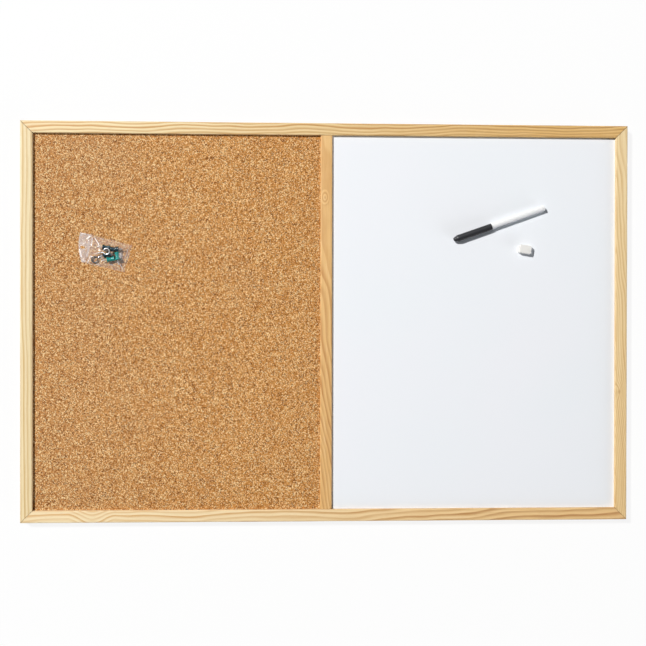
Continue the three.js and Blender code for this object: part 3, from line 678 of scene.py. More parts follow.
# White half. A thin steel sheet with a baked white lacquer, so that a magnet holds on it and a
# marker wipes off. The lacquer is even, with the faintest flow marks.
FLOW_DEPTH = 0.03 * MM
lacquer, place = finish("white lacquer")
clouds = noise(place, 5.0)
show(lacquer, mixed(clouds, "#eaf0f5", "#eff0f6"), noise(place, 240.0), clouds * 0.05 + 0.285,
     depth=FLOW_DEPTH, strength=0.35)
dress(lacquer, "whiteboard_sheet")


# Strip between the halves. A pine T: its cap butts between the rails and covers the joint, and its
# web runs on under their lips to the back panel, where three brads hold it.
STRIP_ROUND = 2 * MM
STRIP_WEB_WIDTH = 6 * MM
STRIP_END_GAP = 0.3 * MM
STRIP_STATIONS = 41
strip_low, strip_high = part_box("centre_mullion")
strip_middle = (strip_low.x + strip_high.x) / 2
strip_half = (strip_high.x - strip_low.x) / 2
cap_reach = half_height - rail_width - STRIP_END_GAP
web_half = STRIP_WEB_WIDTH / 2
right = [(web_half, strip_low.z), (web_half, lip_level), (strip_half, lip_level),
         (strip_half, strip_high.z)]
left = [(-across, height) for across, height in right]
strip_radii = [LIP_ROUND, LIP_ROUND, 0, 0, STRIP_ROUND, STRIP_ROUND, 0, 0]
whole_t = rounded(left[:1] + right + left[:0:-1], strip_radii)
# Past the cap's ends only the web goes on: all but its two lowest corners lie along its flat top
corner_points = len(whole_t) // 8
web_only = whole_t.copy()
web_only[2 * corner_points:, 0] = np.linspace(web_half, -web_half, 6 * corner_points)
web_only[2 * corner_points:, 1] = face_level
stations = [(-strip_high.y, web_only), (-cap_reach, web_only)]
stations += [(float(y), whole_t) for y in np.linspace(-cap_reach, cap_reach, STRIP_STATIONS)]
stations += [(cap_reach, web_only), (strip_high.y, web_only)]
strip_rings = np.stack([
    np.stack([strip_middle + outline[:, 0], np.full(len(outline), y), outline[:, 1]], -1)
    for y, outline in stations])
strip_pine = pine_finish(
    "pine strip", 1, 0.0, ("#dbad6c", "#e3b879"), ("#ab7133", "#c18540"), Pith=(0.0, -0.035, -0.04),
    Lean=(0.0, 0.2, 0.0), Ring_Width=0.0046, Wander=0.02, Late_Wood=0.8,
    Knot=(0.185, -strip_middle + 0.002, 0.017), Knot_Size=0.0016)
strip = loft("centre_mullion_wood", strip_rings, strip_pine, "board")
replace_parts(strip, "centre_mullion")


# Back panel, points and brads. A sheet of brown hardboard closes the back, mesh side out. Steel
# points in the rebate hold it in, and brads go through it into the strip.
MESH_MARKS = 620.0
MESH_DEPTH = 0.3 * MM
hardboard, place = finish("hardboard", Specular_IOR_Level=0.3)
mesh_marks = cells(place, MESH_MARKS, "Distance", 0.0, distance="CHEBYCHEV")
fibres = noise(place, 900.0, 4.0, 0.65)
tint = toned(noise(place, 9.0, 3.0), "#6d4628", "#855a36")
tint = mixed(spread(mesh_marks, 0.25, 0.5, 0.0, 0.45), tint, "#4d2f1a")
tint = mixed(fibres * 0.35, tint, "#b48a5e")
show(hardboard, tint, fibres * 0.3 - mesh_marks, fibres * 0.3 + 0.5, depth=MESH_DEPTH)
dress(hardboard, "back_panel")
dress(zinc, "back_point", "mullion_brad")


# Marker. A white barrel of extruded plastic, closed by an end plug, with a black front section
# that holds the felt nib, and a long black cap pushed over it. The ink sits in a fibre reservoir.
MARKER_PLACE_SHARES = (0.2087, 0.2087)
MARKER_TURN = math.radians(19.4)
MARKER_REST_GAP = 0.3 * MM
TURNED_STEPS = 96
SKIN_DEPTH = 0.03 * MM
FELT_DEPTH = 0.15 * MM
moulded_skin, given = effect(
    "moulded skin", Plain=colour("#2b2c2f"), Rubbed=colour("#3a3b3e"), Gloss=0.25)
specks = noise(given.Vector, 2600.0, 2.0, 0.6)
rubs = spread(noise(given.Vector, (160.0, 900.0, 500.0), 3.0, 0.6), 0.55, 0.75)
gives(moulded_skin, mixed(rubs * 0.7, given.Plain, given.Rubbed),
      specks * 0.2 + noise(given.Vector, 420.0), given.Gloss + (specks * 0.08 + rubs * 0.16))


def plastic_finish(name, plain, rubbed, gloss, **values):
    """Moulded plastic with a faint ripple and rubbed patches."""
    material, place = finish(name, **values)
    skin = applied(moulded_skin, place, Plain=colour(plain), Rubbed=colour(rubbed), Gloss=gloss)
    show(material, *skin, depth=SKIN_DEPTH, strength=0.4)
    return material


def felt_finish(name, dark, light):
    """Pressed fibre that soaks up ink."""
    material, place = finish(name, Roughness=1.0, Specular_IOR_Level=0.1)
    fibres = noise(place, 1500.0, 4.0, 0.7)
    show(material, toned(fibres, dark, light), fibres, depth=FELT_DEPTH)
    return material


def turned_rings(profile, radii, steps=TURNED_STEPS):
    """A body of revolution about X. A profile point (along, r) in millimetres becomes the ring
    (along, r cos a, r sin a), a from 0 to a full turn; corners are eased by their radii."""
    along, radius = (rounded(profile, radii) * MM).T[:, :, None]
    angle = np.linspace(0, 2 * math.pi, steps, endpoint=False)[None, :]
    return np.stack([along + 0 * angle, radius * np.cos(angle), radius * np.sin(angle)], -1)


def placed(points, at, turn=0.0, tilt=0.0):
    """Points tilted about Y, then turned about Z, then moved to their place."""
    c, s = math.cos(tilt), math.sin(tilt)
    tilted = points @ np.array([[c, 0, s], [0, 1, 0], [-s, 0, c]]).T
    return turned_about_z(tilted, turn) + np.array(at)


black_plastic = plastic_finish("black moulded plastic", "#1d1d21", "#27272b", 0.42)
white_plastic = plastic_finish("white extruded plastic", "#e9eaeb", "#e3e4e5", 0.5)
ink_fibre = felt_finish("inked fibre", "#24242c", "#4a4a55")
nib_felt = felt_finish("nib felt", "#131315", "#2c2c30")

# Radii and places along the marker from the nose of the cap, in millimetres
CAP_RADIUS = 4.8
CAP_BORE = 3.9
CAP_LENGTH = 60
NOSE_RADIUS = 2.3
BARREL_RADIUS = 4
BARREL_BORE = 3.2
BARREL_START = 60.3
BARREL_END = 141.3
PLUG_START = 133.3
PLUG_RIM = 141.6
PLUG_END = 144.3
MARKER_LENGTH = 144
SECTION_START = 35.3
SECTION_TIP = 2.2
SECTION_SHOULDER = 48.3
SECTION_NECK = 3.6
SECTION_BORE = 1.7
SLEEVE_RADIUS = 2.9
SLEEVE_END = 68.3
NIB_TIP = 29.3
NIB_END = 55.3
NIB_RADIUS = 1.4
RESERVOIR_START = 68.6
RESERVOIR_END = 133
# Each piece's body, finish and slot, and whether it is a tube, then its outline as place and radius
# and how far each of its corners is eased
MARKER_PIECES = [
    ("marker_cap", "cap", black_plastic, "black_plastic", False,
     [(0, 0), (0, NOSE_RADIUS), (3.2, CAP_BORE), (4.4, CAP_BORE), (7, CAP_RADIUS), (CAP_LENGTH, CAP_RADIUS),
      (CAP_LENGTH, CAP_BORE), (9, CAP_BORE), (5.2, 3), (5.2, 0)],
     [0, 0.6, 0.7, 0.5, 0.9, 0.3, 0.3, 1, 0.5, 0]),
    ("marker_barrel", "marker", white_plastic, "white_plastic", True,
     [(BARREL_START, BARREL_BORE), (BARREL_START, BARREL_RADIUS), (BARREL_END, BARREL_RADIUS),
      (BARREL_END, BARREL_BORE)], [0.2, 0.25, 0.2, 0.2]),
    ("marker_end_plug", "marker", white_plastic, "white_plastic", False,
     [(PLUG_START, 0), (PLUG_START, SLEEVE_RADIUS), (PLUG_RIM, SLEEVE_RADIUS), (PLUG_RIM, BARREL_RADIUS),
      (PLUG_END, BARREL_RADIUS), (PLUG_END, 0)], [0, 0.5, 0.1, 0.2, 0.4, 0]),
    ("marker_front_section", "marker", black_plastic, "black_plastic", True,
     [(SECTION_START, SECTION_BORE), (SECTION_START, SECTION_TIP), (SECTION_SHOULDER, SECTION_NECK),
      (CAP_LENGTH, SECTION_NECK), (CAP_LENGTH, SLEEVE_RADIUS), (SLEEVE_END, SLEEVE_RADIUS),
      (SLEEVE_END, SECTION_BORE)],
     [0.1, 0.3, 2, 0.2, 0.1, 0.5, 0.2]),
    ("marker_nib", "marker", nib_felt, "nib_felt", False,
     [(NIB_TIP, 0), (NIB_TIP, 0.7), (31.8, NIB_RADIUS), (NIB_END, NIB_RADIUS), (NIB_END, 0)],
     [0, 0.5, 0.6, 0.2, 0]),
    ("marker_reservoir", "marker", ink_fibre, "ink_fibre", False,
     [(RESERVOIR_START, 0), (RESERVOIR_START, SLEEVE_RADIUS), (RESERVOIR_END, SLEEVE_RADIUS),
      (RESERVOIR_END, 0)], [0, 0.4, 0.4, 0]),
]
# It rests on the cap's rim and the barrel's end, so its axis falls a little towards the end
marker_tilt = math.atan((CAP_RADIUS - BARREL_RADIUS) / (MARKER_LENGTH - CAP_LENGTH))
marker_rise = (CAP_RADIUS * math.cos(marker_tilt) + CAP_LENGTH * math.sin(marker_tilt)) * MM
marker_at = (MARKER_PLACE_SHARES[0] * board_width, MARKER_PLACE_SHARES[1] * board_height,
             face_level + MARKER_REST_GAP + marker_rise)
for node, body, material, slot, hollow, profile, radii in MARKER_PIECES:
    rings = placed(turned_rings(profile, radii), marker_at, MARKER_TURN, marker_tilt)
    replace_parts(loft(node + "_turned", rings, material, body, closed=hollow), node)


# Magnet. A block of pale plastic with rounded edges and a faintly crowned top, moulded over a
# ferrite block that is let into its underside.
MAGNET_PLACE_SHARES = (0.3277, 0.1853)
MAGNET_TURN = math.radians(-8)
MAGNET_HALF = np.array([9, 6.25]) * MM
MAGNET_HEIGHT = 8.5 * MM
MAGNET_CORNER = 2.4 * MM
MAGNET_EDGE = 1.1 * MM
MAGNET_FOOT_EDGE = 0.4 * MM
MAGNET_CROWN = 0.25 * MM
MAGNET_SHOULDER = MAGNET_HEIGHT - MAGNET_CROWN - MAGNET_EDGE
CORNER_STEPS = 9
EDGE_STEPS = 8
CROWN_SHARES = (0.8, 0.55, 0.3)
POCKET_HALF = np.array([7.3, 4.55]) * MM
POCKET_CORNER = 0.3 * MM
POCKET_TOP = 4.6 * MM
FERRITE_DEPTH = 0.05 * MM
CLOSED = 1e-4


def magnet_ring(half, corner, height, share=1.0):
    """A level rounded rectangle, drawn in towards its middle by a share."""
    x, y = half
    outline = rounded([(x, y), (-x, y), (-x, -y), (x, -y)], [corner] * 4, CORNER_STEPS) * share
    return np.column_stack([outline, np.full(len(outline), height)])


def magnet_top(share):
    """A ring of the crowned top: it sinks by the crown times the square of its share."""
    height = MAGNET_HEIGHT - MAGNET_CROWN * share ** 2
    return magnet_ring(MAGNET_HALF - MAGNET_EDGE, MAGNET_CORNER - MAGNET_EDGE / 2, height, share)


def magnet_edge(turn):
    """A ring of the upper edge, a quarter circle: in by e(1 - cos t), up by e sin t."""
    inward = MAGNET_EDGE * (1 - math.cos(turn))
    height = MAGNET_SHOULDER + MAGNET_EDGE * math.sin(turn)
    return magnet_ring(MAGNET_HALF - inward, MAGNET_CORNER - inward / 2, height)


rings = [
    magnet_ring(POCKET_HALF, POCKET_CORNER, POCKET_TOP, CLOSED),
    magnet_ring(POCKET_HALF, POCKET_CORNER, POCKET_TOP),
    magnet_ring(POCKET_HALF, POCKET_CORNER, 0.0),
    magnet_ring(MAGNET_HALF - MAGNET_FOOT_EDGE, MAGNET_CORNER, 0.0),
    magnet_ring(MAGNET_HALF, MAGNET_CORNER, MAGNET_FOOT_EDGE),
]
rings += [magnet_edge(turn) for turn in np.linspace(0, math.pi / 2, EDGE_STEPS)]
rings += [magnet_top(share) for share in (*CROWN_SHARES, CLOSED)]
magnet_at = (MAGNET_PLACE_SHARES[0] * board_width, MAGNET_PLACE_SHARES[1] * board_height,
             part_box("magnet_shell")[0].z)
magnet_plastic = plastic_finish("pale magnet plastic", "#e6e5e2", "#dddcd8", 0.35)
shell = loft("magnet_shell_moulded", placed(np.stack(rings), magnet_at, MAGNET_TURN), magnet_plastic,
             "magnet")
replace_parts(shell, "magnet_shell")

ferrite, place = finish("ferrite", Specular_IOR_Level=0.4)
grains = noise(place, 1300.0, 4.0, 0.7)
show(ferrite, mixed(spread(grains, 0.35, 0.7), "#2f2f32", "#55555a"), grains, grains * 0.3 + 0.4,
     depth=FERRITE_DEPTH)
dress(ferrite, "magnet_core")


# Push pins in the bag. Each has a moulded head of clear teal plastic, waisted for the fingers,
# over a steel needle. Radii and places along a pin are in millimetres.
BAG_PLACE_SHARES = (-0.3647, 0.1714)
BAG_TURN = math.radians(-14.7)
PIN_HALF = 5.65
PIN_TOP_RADIUS = 3.5
PIN_WAIST_RADIUS = 2.8
PIN_RIM_RADIUS = 4.1
PIN_LENGTH = 2 * PIN_HALF * MM
PIN_TILT = math.atan((PIN_RIM_RADIUS - PIN_TOP_RADIUS) / (2 * PIN_HALF))
PIN_CENTRE = 4.5 * MM
NEEDLE_RADIUS = 0.55
NEEDLE_TIP = 14.65
# Across and up from the bag's middle in head lengths, the turn of the needle, and its plastic, one of two
# copies of the same teal: "lit" painted brighter as lit, "shaded" painted darker as in shade
PINS = [
    (1.76, -0.38, -82, "lit"), (0.907, -0.777, 190, "lit"), (0.353, 0.745, 177, "shaded"),
    (1.4, 0.535, 0.6, "shaded"), (0.469, -0.187, 196, "shaded"),
]
# Outlines as place and radius, from the head's middle towards the needle's tip
PIN_PROFILE = [
    (-PIN_HALF, 0), (-PIN_HALF, PIN_TOP_RADIUS), (-4.1, PIN_TOP_RADIUS), (-2.4, PIN_WAIST_RADIUS),
    (2.6, PIN_WAIST_RADIUS), (4.2, PIN_RIM_RADIUS), (PIN_HALF, PIN_RIM_RADIUS), (PIN_HALF, 0),
]
PIN_RADII = [0, 0.7, 0.6, 1.6, 1.6, 0.5, 0.5, 0]
NEEDLE_PROFILE = [
    (-0.35, 0), (-0.35, NEEDLE_RADIUS), (12.15, NEEDLE_RADIUS), (NEEDLE_TIP, 0.03), (NEEDLE_TIP, 0)]
NEEDLE_RADII = [0, 0.1, 0.5, 0, 0]
PIN_STEPS = 64
NEEDLE_STEPS = 24

bag_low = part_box("bag_film")[0].z
bag_at = np.array([BAG_PLACE_SHARES[0] * board_width, BAG_PLACE_SHARES[1] * board_height, bag_low])
# One teal plastic in two copies: a painted lit one, brighter, for the pins on top, and a painted shade one,
# darker, for the pins beneath
pin_plastic = {
    "lit": plastic_finish("lit teal plastic", "#048c86", "#3fb0ac", 0.12, IOR=1.5, Coat_Weight=0.5),
    "shaded": plastic_finish("deep teal plastic", "#05303c", "#0d4653", 0.15, IOR=1.45, Coat_Weight=0.2),
}
nickel = metal_finish("nickel plated steel", "#e6e8e9", "#c3c7ca", 1100.0)
contents = []
for i, (across, up, turn, tint) in enumerate(PINS, 1):
    at = bag_at + np.array([across * PIN_LENGTH, up * PIN_LENGTH, PIN_CENTRE])
    lie = (at, math.radians(turn), -PIN_TILT)
    rings = placed(turned_rings(PIN_PROFILE, PIN_RADII, PIN_STEPS), *lie)
    head = loft(f"pin_head_{i}_moulded", rings, pin_plastic[tint], "bag")
    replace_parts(head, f"pin_head_{i}")
    contents.append(rings)
    rings = placed(turned_rings(NEEDLE_PROFILE, NEEDLE_RADII, NEEDLE_STEPS), *lie)
    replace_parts(loft(f"pin_needle_{i}_ground", rings, nickel, "bag"), f"pin_needle_{i}")
    contents.append(rings)


# Screw eyes in the bag. Each is one nickel plated wire, bent to an open ring at one end and rolled
# to a wood screw's thread and point at the other. Sizes are in millimetres.
EYE_RING_RADIUS = 4.35
EYE_WIRE_RADIUS = 0.9
EYE_OPENING = math.radians(24)
EYE_MEETING = math.radians(35)
EYE_NECK = 2.4
EYE_NECK_RUN = 1.6
EYE_SHANK_RADIUS = 1.3
EYE_SHANK_LENGTH = 10
THREAD_PITCH = 1.15
THREAD_DEPTH = 0.34
THREAD_RUN = 7
THREAD_FADE = 0.8
POINT_RUN = 3.5
SHANK_STATIONS = 170
BEND_STATIONS = 16
RING_STATIONS = 72
WIRE_STEPS = 28
# Across, up and height in head lengths from the bag's middle, then the turn and the tilt
EYES = [(0.48, 0.17, 0.93, 191, 6), (-1.23, -0.83, 0.12, 36, 0)]
EYE_BASE = 0.7 * MM


def bent(t, start, bend, end):
    """Points of a quadratic curve, (1-t)^2 start + 2t(1-t) bend + t^2 end."""
    t = t[:, None]
    return (1 - t) ** 2 * np.array(start) + 2 * t * (1 - t) * np.array(bend) + t ** 2 * np.array(end)


def screw_eye_rings():
    """Rings round a path that runs in from the point along X, bends in a quadratic curve to the
    circle, and follows it to the opening. On the shank the radius is that of its core plus the
    thread, depth w^1.5 for a triangle wave w of along / pitch - turn, and it closes towards
    the point. A neck takes the shank down to the plain wire."""
    tip = EYE_RING_RADIUS + EYE_SHANK_LENGTH
    shank = np.linspace(tip, EYE_RING_RADIUS + EYE_NECK, SHANK_STATIONS)
    meeting = EYE_RING_RADIUS * np.array([math.cos(EYE_MEETING), math.sin(EYE_MEETING)])
    start, pull = (shank[-1], 0), (EYE_RING_RADIUS * 0.99, 0.25)
    bend = bent(np.linspace(0, 1, BEND_STATIONS)[1:], start, pull, meeting)
    angle = np.linspace(EYE_MEETING, 2 * math.pi - EYE_OPENING, RING_STATIONS)[1:]
    circle = EYE_RING_RADIUS * np.column_stack([np.cos(angle), np.sin(angle)])
    path = np.concatenate([np.column_stack([shank, 0 * shank]), bend, circle])
    way = np.gradient(path, axis=0)
    way /= np.linalg.norm(way, axis=1, keepdims=True)
    sideways = np.column_stack([-way[:, 1], way[:, 0]])
    around = np.linspace(0, 2 * math.pi, WIRE_STEPS, endpoint=False)[None, :]
    along = path[:, :1]
    turns = along / THREAD_PITCH - around / (2 * math.pi)
    wave = 1 - 2 * np.abs((turns % 1) - 0.5)
    from_tip = tip - along
    point = np.clip(from_tip / POINT_RUN, 0, 1) ** 0.6
    thread = THREAD_DEPTH * np.clip((THREAD_RUN - from_tip) / THREAD_FADE, 0, 1)
    screw = (EYE_SHANK_RADIUS - thread + thread * wave ** 1.5) * point
    neck = np.clip((along - EYE_RING_RADIUS - EYE_NECK) / EYE_NECK_RUN, 0, 1)
    shank_radius = EYE_WIRE_RADIUS + (screw - EYE_WIRE_RADIUS) * np.where(from_tip < THREAD_RUN, 1, neck)
    on_shank = np.arange(len(path))[:, None] < len(shank)
    radius = np.where(on_shank, shank_radius, EYE_WIRE_RADIUS)
    flat = path[:, None, :] + (radius * np.cos(around))[:, :, None] * sideways[:, None, :]
    return np.concatenate([flat, (radius * np.sin(around))[:, :, None]], -1) * MM


# The second eye gets a darker copy of the nickel: painted shade, for the eye that lies in shade within the
# bag
shaded_nickel = metal_finish("nickel plated steel painted in shade", "#7a7e82", "#585c60", 1100.0)
for i, (across, up, height, turn, tilt) in enumerate(EYES, 1):
    at = bag_at + np.array([across, up, height]) * PIN_LENGTH + np.array([0, 0, EYE_BASE])
    rings = placed(screw_eye_rings(), at, math.radians(turn), math.radians(tilt))
    plating = nickel if i == 1 else shaded_nickel
    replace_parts(loft(f"screw_eye_{i}_plated", rings, plating, "bag"), f"screw_eye_{i}")
    contents.append(rings)


# Bag. Two sheets of thin clear film, sealed down both sides and along the foot, with a press-to-close strip
# across near the slanted mouth and a hang hole beyond it. It is crumpled and hazy from handling, and
# painted highlights whiten its crumples and folds. Sizes are in millimetres, along the bag from its mouth
# to its foot and across it.
BAG_FOOT = 35.7
FOOT_SLANT = 0.7
FOOT_SHIFT = 1.45
BAG_MOUTH = 38.6
MOUTH_SLANT = 6.4
MOUTH_SAG = 3.7
MOUTH_HALF = 21.5
FOOT_HALF = 20.45
FOOT_SEAL = 2
SIDE_SEAL = 1.5
ZIP_AT = -24.0
ZIP_GAP = 1.8
ZIP_HALF = 0.45
ZIP_HEIGHT = 0.45
ZIP_FADE = 3
ZIP_SEAL = 1
HEADER_RUN = 5
SLACK_RUN = 4
SEAL_LINE_AT = 1.4
SEAL_LINE_HALF = 0.5
MOUTH_EDGE = 0.8
FOOT_WAVE = (0.5, 3.7)
SIDE_WAVE = (0.45, 5.1)
FILM_FLOOR = 0.1
FILM_GAP = 0.25
FILM_CELL = 0.4
FILM_SETTLING = 2600
FILM_PUFF = 0.0035
FILM_ROWS = 230
FILM_COLUMNS = 130
FILM_THICKNESS = 0.07 * MM
FILM_HEADROOM = 0.15
FILM_RELIEF = 0.2 * MM
FILM_GRID = ((-48, 38), (-25, 25))
COVERED_HEIGHT = 0.6
COVERED_RUN = 2
CRUMPLE_HEIGHT = 1.5
CRUMPLE_LENGTHS = (15, 11, 8.5, 6.5, 5, 4)
CRUMPLE_WAVE = 0.9
CRUMPLE_SUM = 2.2
EDGE_CRUSH = 0.35
HEADER_CRUSH = 0.5
UNDER_HEIGHT = 0.3
HOLE_AT = np.array([-32.8, 0.3])
HOLE_RADIUS = 2.7
HOLE_RIM = 0.35
HOLE_CUT = 0.36
HOLE_SQUASH = np.array([0.74, 1.2])
BODY_HAZE_AND_HIGHLIGHT = 0.13
HEADER_HAZE_AND_HIGHLIGHT = (0.14, 0.44)
ZIP_HAZE = 0.2
SEAL_HAZE = 0.14
EDGE_HAZE = 0.2
MOUTH_HAZE = 0.75
RIM_HAZE = 0.3
RIM_HAZE_AT = 0.5
RIM_HAZE_HALF = 0.7
FOLD_HIGHLIGHT_SHARE = 0.62
UNDER_HAZE_SHARE = 0.5
# Folds of the upper film in the bag's own axes: start, bend, end, height, half width, and the whiteness of
# the highlight painted along it
FOLDS = [
    ((-28.9, 11.1), (-27.8, 20.0), (-23.2, 18.9), 1.0, 1.2, 0.8),
    ((-23.2, 18.9), (-20.4, 12.0), (-20.8, 4.1), 1.0, 1.3, 0.6),
    ((-19.6, 18.9), (-13.7, 14.6), (-7.7, 9.1), 1.3, 1.1, 0.9),
    ((-10.3, 6.4), (-8.7, 7.4), (-6.8, 10.3), 0.9, 2.0, 0.6),
    ((-12.2, -4.7), (-7.8, -2.7), (-2.4, 0.2), 0.7, 0.7, 0.8),
    ((-20.0, -20.4), (-18.5, -14.0), (-16.3, -7.3), 1.0, 1.1, 0.8),
    ((-7.1, -19.0), (-4.4, -17.4), (-0.4, -18.2), 1.2, 1.3, 0.9),
    ((23.6, -8.1), (28.4, -9.8), (33.2, -16.5), 1.0, 0.9, 0.8),
    ((23.7, 7.0), (27.4, 3.1), (25.5, -1.1), 1.2, 3.4, 0.6),
    ((31.9, 16.0), (33.2, 9.9), (31.0, -2.0), 0.7, 1.0, 0.5),
    ((-12.4, 19.9), (-8.6, 19.7), (-4.6, 18.8), 0.7, 1.0, 0.5),
    ((-1.0, -3.5), (-0.7, -8.5), (5.5, -10.5), 0.6, 0.7, 0.8),
    ((11.9, -15.0), (15.0, -12.9), (18.6, -14.1), 0.6, 1.2, 0.6),
    ((-36.4, -4.5), (-33.0, 4.6), (-28.6, 10.4), 0.3, 1.5, 0.5),
    ((-36.1, -3.5), (-33.6, -8.5), (-29.2, -15.6), 0.6, 2.4, 0.7),
    ((-39.4, 19.4), (-36.6, 20.3), (-32.5, 20.2), 0.8, 1.4, 0.8),
    ((-28.6, -17.5), (-25.6, -18.9), (-22.4, -17.7), 0.8, 1.4, 0.6),
    ((-27.2, 14.0), (-23.0, 3.8), (-23.5, -14.6), 0.6, 4.6, 0.42),
]


def mouth_line(share):
    """Where the mouth lies along the bag: -mouth - slant v + sag v^2, v from -1 to 1 across."""
    return -BAG_MOUTH - MOUTH_SLANT * share + MOUTH_SAG * share ** 2


def between(first, last, share):
    """A value between two others, by a share of the way."""
    return first + (last - first) * share


def neighbours(values, side):
    """A grid's values one step back and one step on along one of its sides."""
    return np.roll(values, 1, side), np.roll(values, -1, side)


# The tight film: starting from the tops of the contents, each place is lifted again and again to
# the mean of its four neighbours plus a small puff, and never sinks below what lies under it.
film_u, film_v = (np.arange(*reach, FILM_CELL) for reach in FILM_GRID)
grid_u, grid_v = np.meshgrid(film_u, film_v, indexing="ij")
under = np.concatenate([points.reshape(-1, 3) for points in contents]) - bag_at
under = turned_about_z(under, -BAG_TURN) / MM
cell_u = np.round((under[:, 0] - film_u[0]) / FILM_CELL).astype(int)
cell_v = np.round((under[:, 1] - film_v[0]) / FILM_CELL).astype(int)
tops = np.full(grid_u.shape, 2 * FILM_FLOOR)
np.maximum.at(tops, (cell_u, cell_v), under[:, 2] + FILM_GAP)
for side in (0, 1):
    tops = np.maximum(tops, np.maximum(*neighbours(tops, side)))
share_v = np.clip(grid_v / FOOT_HALF, -1, 1)
mouth_u = mouth_line(share_v)
foot_u = BAG_FOOT + FOOT_SLANT * share_v
share_u = (grid_u - mouth_u) / (foot_u - mouth_u)
side_v = between(MOUTH_HALF, FOOT_HALF, share_u)
sealed = (grid_u > foot_u - FOOT_SEAL) | (grid_u < ZIP_AT + ZIP_SEAL)
sealed = sealed | (np.abs(grid_v - FOOT_SHIFT * share_u) > side_v - SIDE_SEAL)
film_top = tops.copy()
for _ in range(FILM_SETTLING):
    mean = (sum(neighbours(film_top, 0)) + sum(neighbours(film_top, 1))) / 4
    film_top = np.where(sealed, 2 * FILM_FLOOR, np.maximum(tops, mean + FILM_PUFF))


def sampled(values, u, v):
    """A grid's value between its points, weighted by how near each of the four neighbours is."""
    a = np.clip((u - film_u[0]) / FILM_CELL, 0, len(film_u) - 1.001)
    b = np.clip((v - film_v[0]) / FILM_CELL, 0, len(film_v) - 1.001)
    i, j = a.astype(int), b.astype(int)
    a, b = a - i, b - j
    return ((1 - a) * (1 - b) * values[i, j] + a * (1 - b) * values[i + 1, j]
            + (1 - a) * b * values[i, j + 1] + a * b * values[i + 1, j + 1])


def crumples(u, v, seed):
    """Sharp small creases: a sum of triangle waves of (u cos a + v sin a) / length + phase, each as
    high as it is long and bent by the one before it, brought to between 0 and about 0.7."""
    draw = np.random.default_rng(seed)
    total, bend = np.zeros_like(u), np.zeros_like(u)
    for length in CRUMPLE_LENGTHS:
        a, phase = draw.uniform(0, math.pi), draw.uniform(0, 1)
        turns = (u * math.cos(a) + v * math.sin(a)) / length + phase + bend
        bend = np.abs((turns % 1) - 0.5) * CRUMPLE_WAVE
        total = total + bend * length / CRUMPLE_LENGTHS[0]
    return total / CRUMPLE_SUM


def fold_distance(u, v, start, bend, end, steps=40):
    """Distance from each place to the nearest of the points of a quadratic curve, and how far
    along the curve that point is."""
    curve = bent(np.linspace(0, 1, steps + 1), start, bend, end)
    gap = np.hypot(u[..., None] - curve[:, 0], v[..., None] - curve[:, 1])
    return gap.min(-1), gap.argmin(-1) / steps


def band(value, half_width):
    """A soft band round 0: e to the minus square of value / half width."""
    return np.exp(-(value / half_width) ** 2)


def ends_faded(run, least=0.0):
    """1 along a fold, fading to the least over an eighth of it at either end."""
    return np.clip(8 * run, least, 1) * np.clip(8 * (1 - run), least, 1)


def tapered(value, reach):
    """1 at 0, falling evenly to 0 at the reach."""
    return np.clip(1 - value / reach, 0, 1)


rows = np.linspace(0, 1, FILM_ROWS)[:, None]
columns = np.linspace(-1, 1, FILM_COLUMNS)[None, :]
mouth = mouth_line(columns)
foot = BAG_FOOT + FOOT_SLANT * columns
film_along = between(mouth, foot, rows)
film_half = between(MOUTH_HALF, FOOT_HALF, rows)
edge = np.minimum(film_half * (1 - np.abs(columns)), foot - film_along)
film_across = columns * film_half + FOOT_SHIFT * rows
film_along = film_along + FOOT_WAVE[0] * np.sin(film_across / FOOT_WAVE[1] + 1) * rows ** 8
film_across = film_across + SIDE_WAVE[0] * np.sin(film_along / SIDE_WAVE[1]) * np.abs(columns) ** 6
loose = np.clip(edge / SLACK_RUN, 0, 1)
header = np.clip((ZIP_AT + ZIP_FADE - film_along) / HEADER_RUN, 0, 1)
covered = np.clip((sampled(tops, film_along, film_across) - COVERED_HEIGHT) / COVERED_RUN, 0, 1)
crush = CRUMPLE_HEIGHT * crumples(film_along, film_across, 7)
crush = crush * between(EDGE_CRUSH, 1, loose) * between(1, HEADER_CRUSH, header)
film_height = sampled(film_top, film_along, film_across) + crush
# Whiteness of the upper film: real haze of the film and its seals, raised along the crumples and folds by
# painted highlights
marks = [
    BODY_HAZE_AND_HIGHLIGHT * (1 - covered) * (0.3 + 1.4 * crumples(film_along, film_across, 5)),
    header * (HEADER_HAZE_AND_HIGHLIGHT[0] + HEADER_HAZE_AND_HIGHLIGHT[1] * crumples(film_along, film_across, 3)),
]
# Each fold lifts the film and carries a painted highlight along its crest
for first, bend, last, height, half_wide, highlight_whiteness in FOLDS:
    distance, run = fold_distance(film_along, film_across, first, bend, last)
    film_height = film_height + height * band(distance, half_wide) * ends_faded(run)
    marks.append(highlight_whiteness * band(distance, FOLD_HIGHLIGHT_SHARE * half_wide) * ends_faded(run, 0.2))
zip_line = band(film_along - ZIP_AT, ZIP_HALF) + band(film_along - ZIP_AT + ZIP_GAP, ZIP_HALF)
film_height = film_height + ZIP_HEIGHT * zip_line
marks += [
    ZIP_HAZE * zip_line, SEAL_HAZE * tapered(np.abs(edge - SEAL_LINE_AT), SEAL_LINE_HALF),
    EDGE_HAZE * tapered(edge, SEAL_LINE_HALF), MOUTH_HAZE * tapered(film_along - mouth, MOUTH_EDGE),
]
film_limit = (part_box("bag_film")[1].z - bag_low) / MM - FILM_HEADROOM
film_height = np.minimum(film_height, film_limit)
under_height = FILM_FLOOR + UNDER_HEIGHT * crumples(film_along, film_across, 11) * loose
film_height = np.maximum(film_height, under_height + FILM_FLOOR)
film_height[:, [0, -1]] = under_height[:, [0, -1]]
film_height[-1] = under_height[-1]

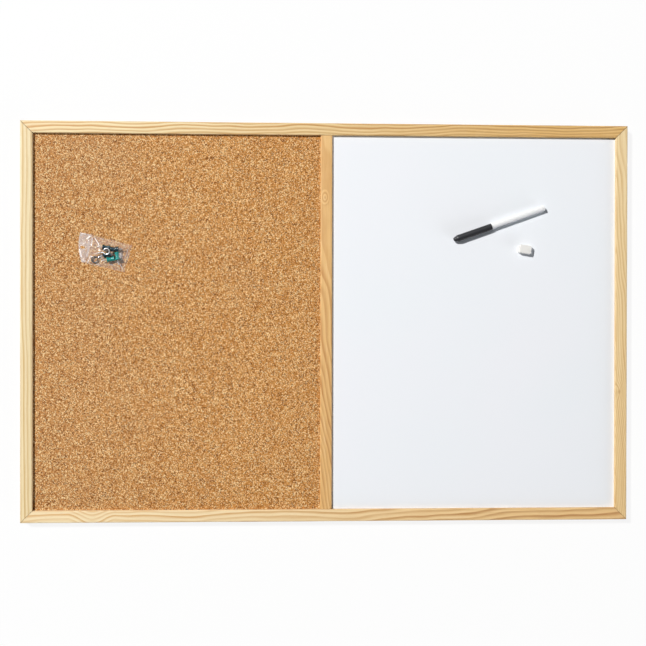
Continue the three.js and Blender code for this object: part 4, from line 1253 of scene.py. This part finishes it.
upper = np.stack([film_along, film_across, film_height], -1)
lower = np.stack([film_along, film_across, under_height], -1)[:, -2:0:-1]
film_points = np.concatenate([upper, lower], 1)
upper_haze_and_highlight = np.max(marks, axis=0)
film_haze_and_highlight = np.concatenate([upper_haze_and_highlight, (UNDER_HAZE_SHARE * upper_haze_and_highlight)[:, -2:0:-1]], 1)
# The hang hole: points near its rim are drawn onto it, and the faces within it are left out
to_hole = film_points[..., :2] - HOLE_AT
hole_reach = np.linalg.norm(to_hole * HOLE_SQUASH, axis=-1)
near_rim = np.abs(hole_reach - HOLE_RADIUS) < HOLE_RIM
on_rim = HOLE_AT + to_hole * (HOLE_RADIUS / hole_reach)[..., None]
film_points[..., :2] = np.where(near_rim[..., None], on_rim, film_points[..., :2])
film_haze_and_highlight = np.maximum(film_haze_and_highlight, RIM_HAZE * band(hole_reach - HOLE_RADIUS - RIM_HAZE_AT, RIM_HAZE_HALF))
faces = grid_faces(FILM_ROWS, film_points.shape[1])
faces = faces[hole_reach.reshape(-1)[faces].min(1) > HOLE_RADIUS - HOLE_CUT]

film, place = finish("clear film", Specular_IOR_Level=0.6)
# The film is whitest where it is hazy and where highlights are painted along its creases
haze_and_highlight = add(place.tree, "ShaderNodeAttribute", output="Fac", attribute_name="haze_and_highlight")
edge_on = add(place.tree, "ShaderNodeLayerWeight", {"Blend": 0.32}, "Facing")
streaked = haze_and_highlight * spread(noise(place, 160.0, 3.0, 0.6), 0.25, 0.75, 0.75, 1.2)
# Film scatters light forwards, so that what lies under it stays well lit
let_through = rays(place.tree, "Shadow") * -0.9 + 1.0
alpha = held(edge_on * 0.05 + 0.004 + streaked) * let_through
show(film, mixed(spread(haze_and_highlight, 0.2, 0.9), "#c9c0be", "#fbf4f0"), noise(place, 700.0, 3.0, 0.6),
     haze_and_highlight * 0.15 + 0.1, alpha, depth=FILM_RELIEF, strength=0.4)

world_points = placed(film_points.reshape(-1, 3) * MM, bag_at, BAG_TURN)
bag = mesh_piece("bag_film_draped", world_points, faces.tolist(), film, "bag", film_haze_and_highlight)
walls = bag.modifiers.new("film thickness", "SOLIDIFY")
walls.thickness = FILM_THICKNESS
walls.offset = 0
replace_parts(bag, "bag_film")
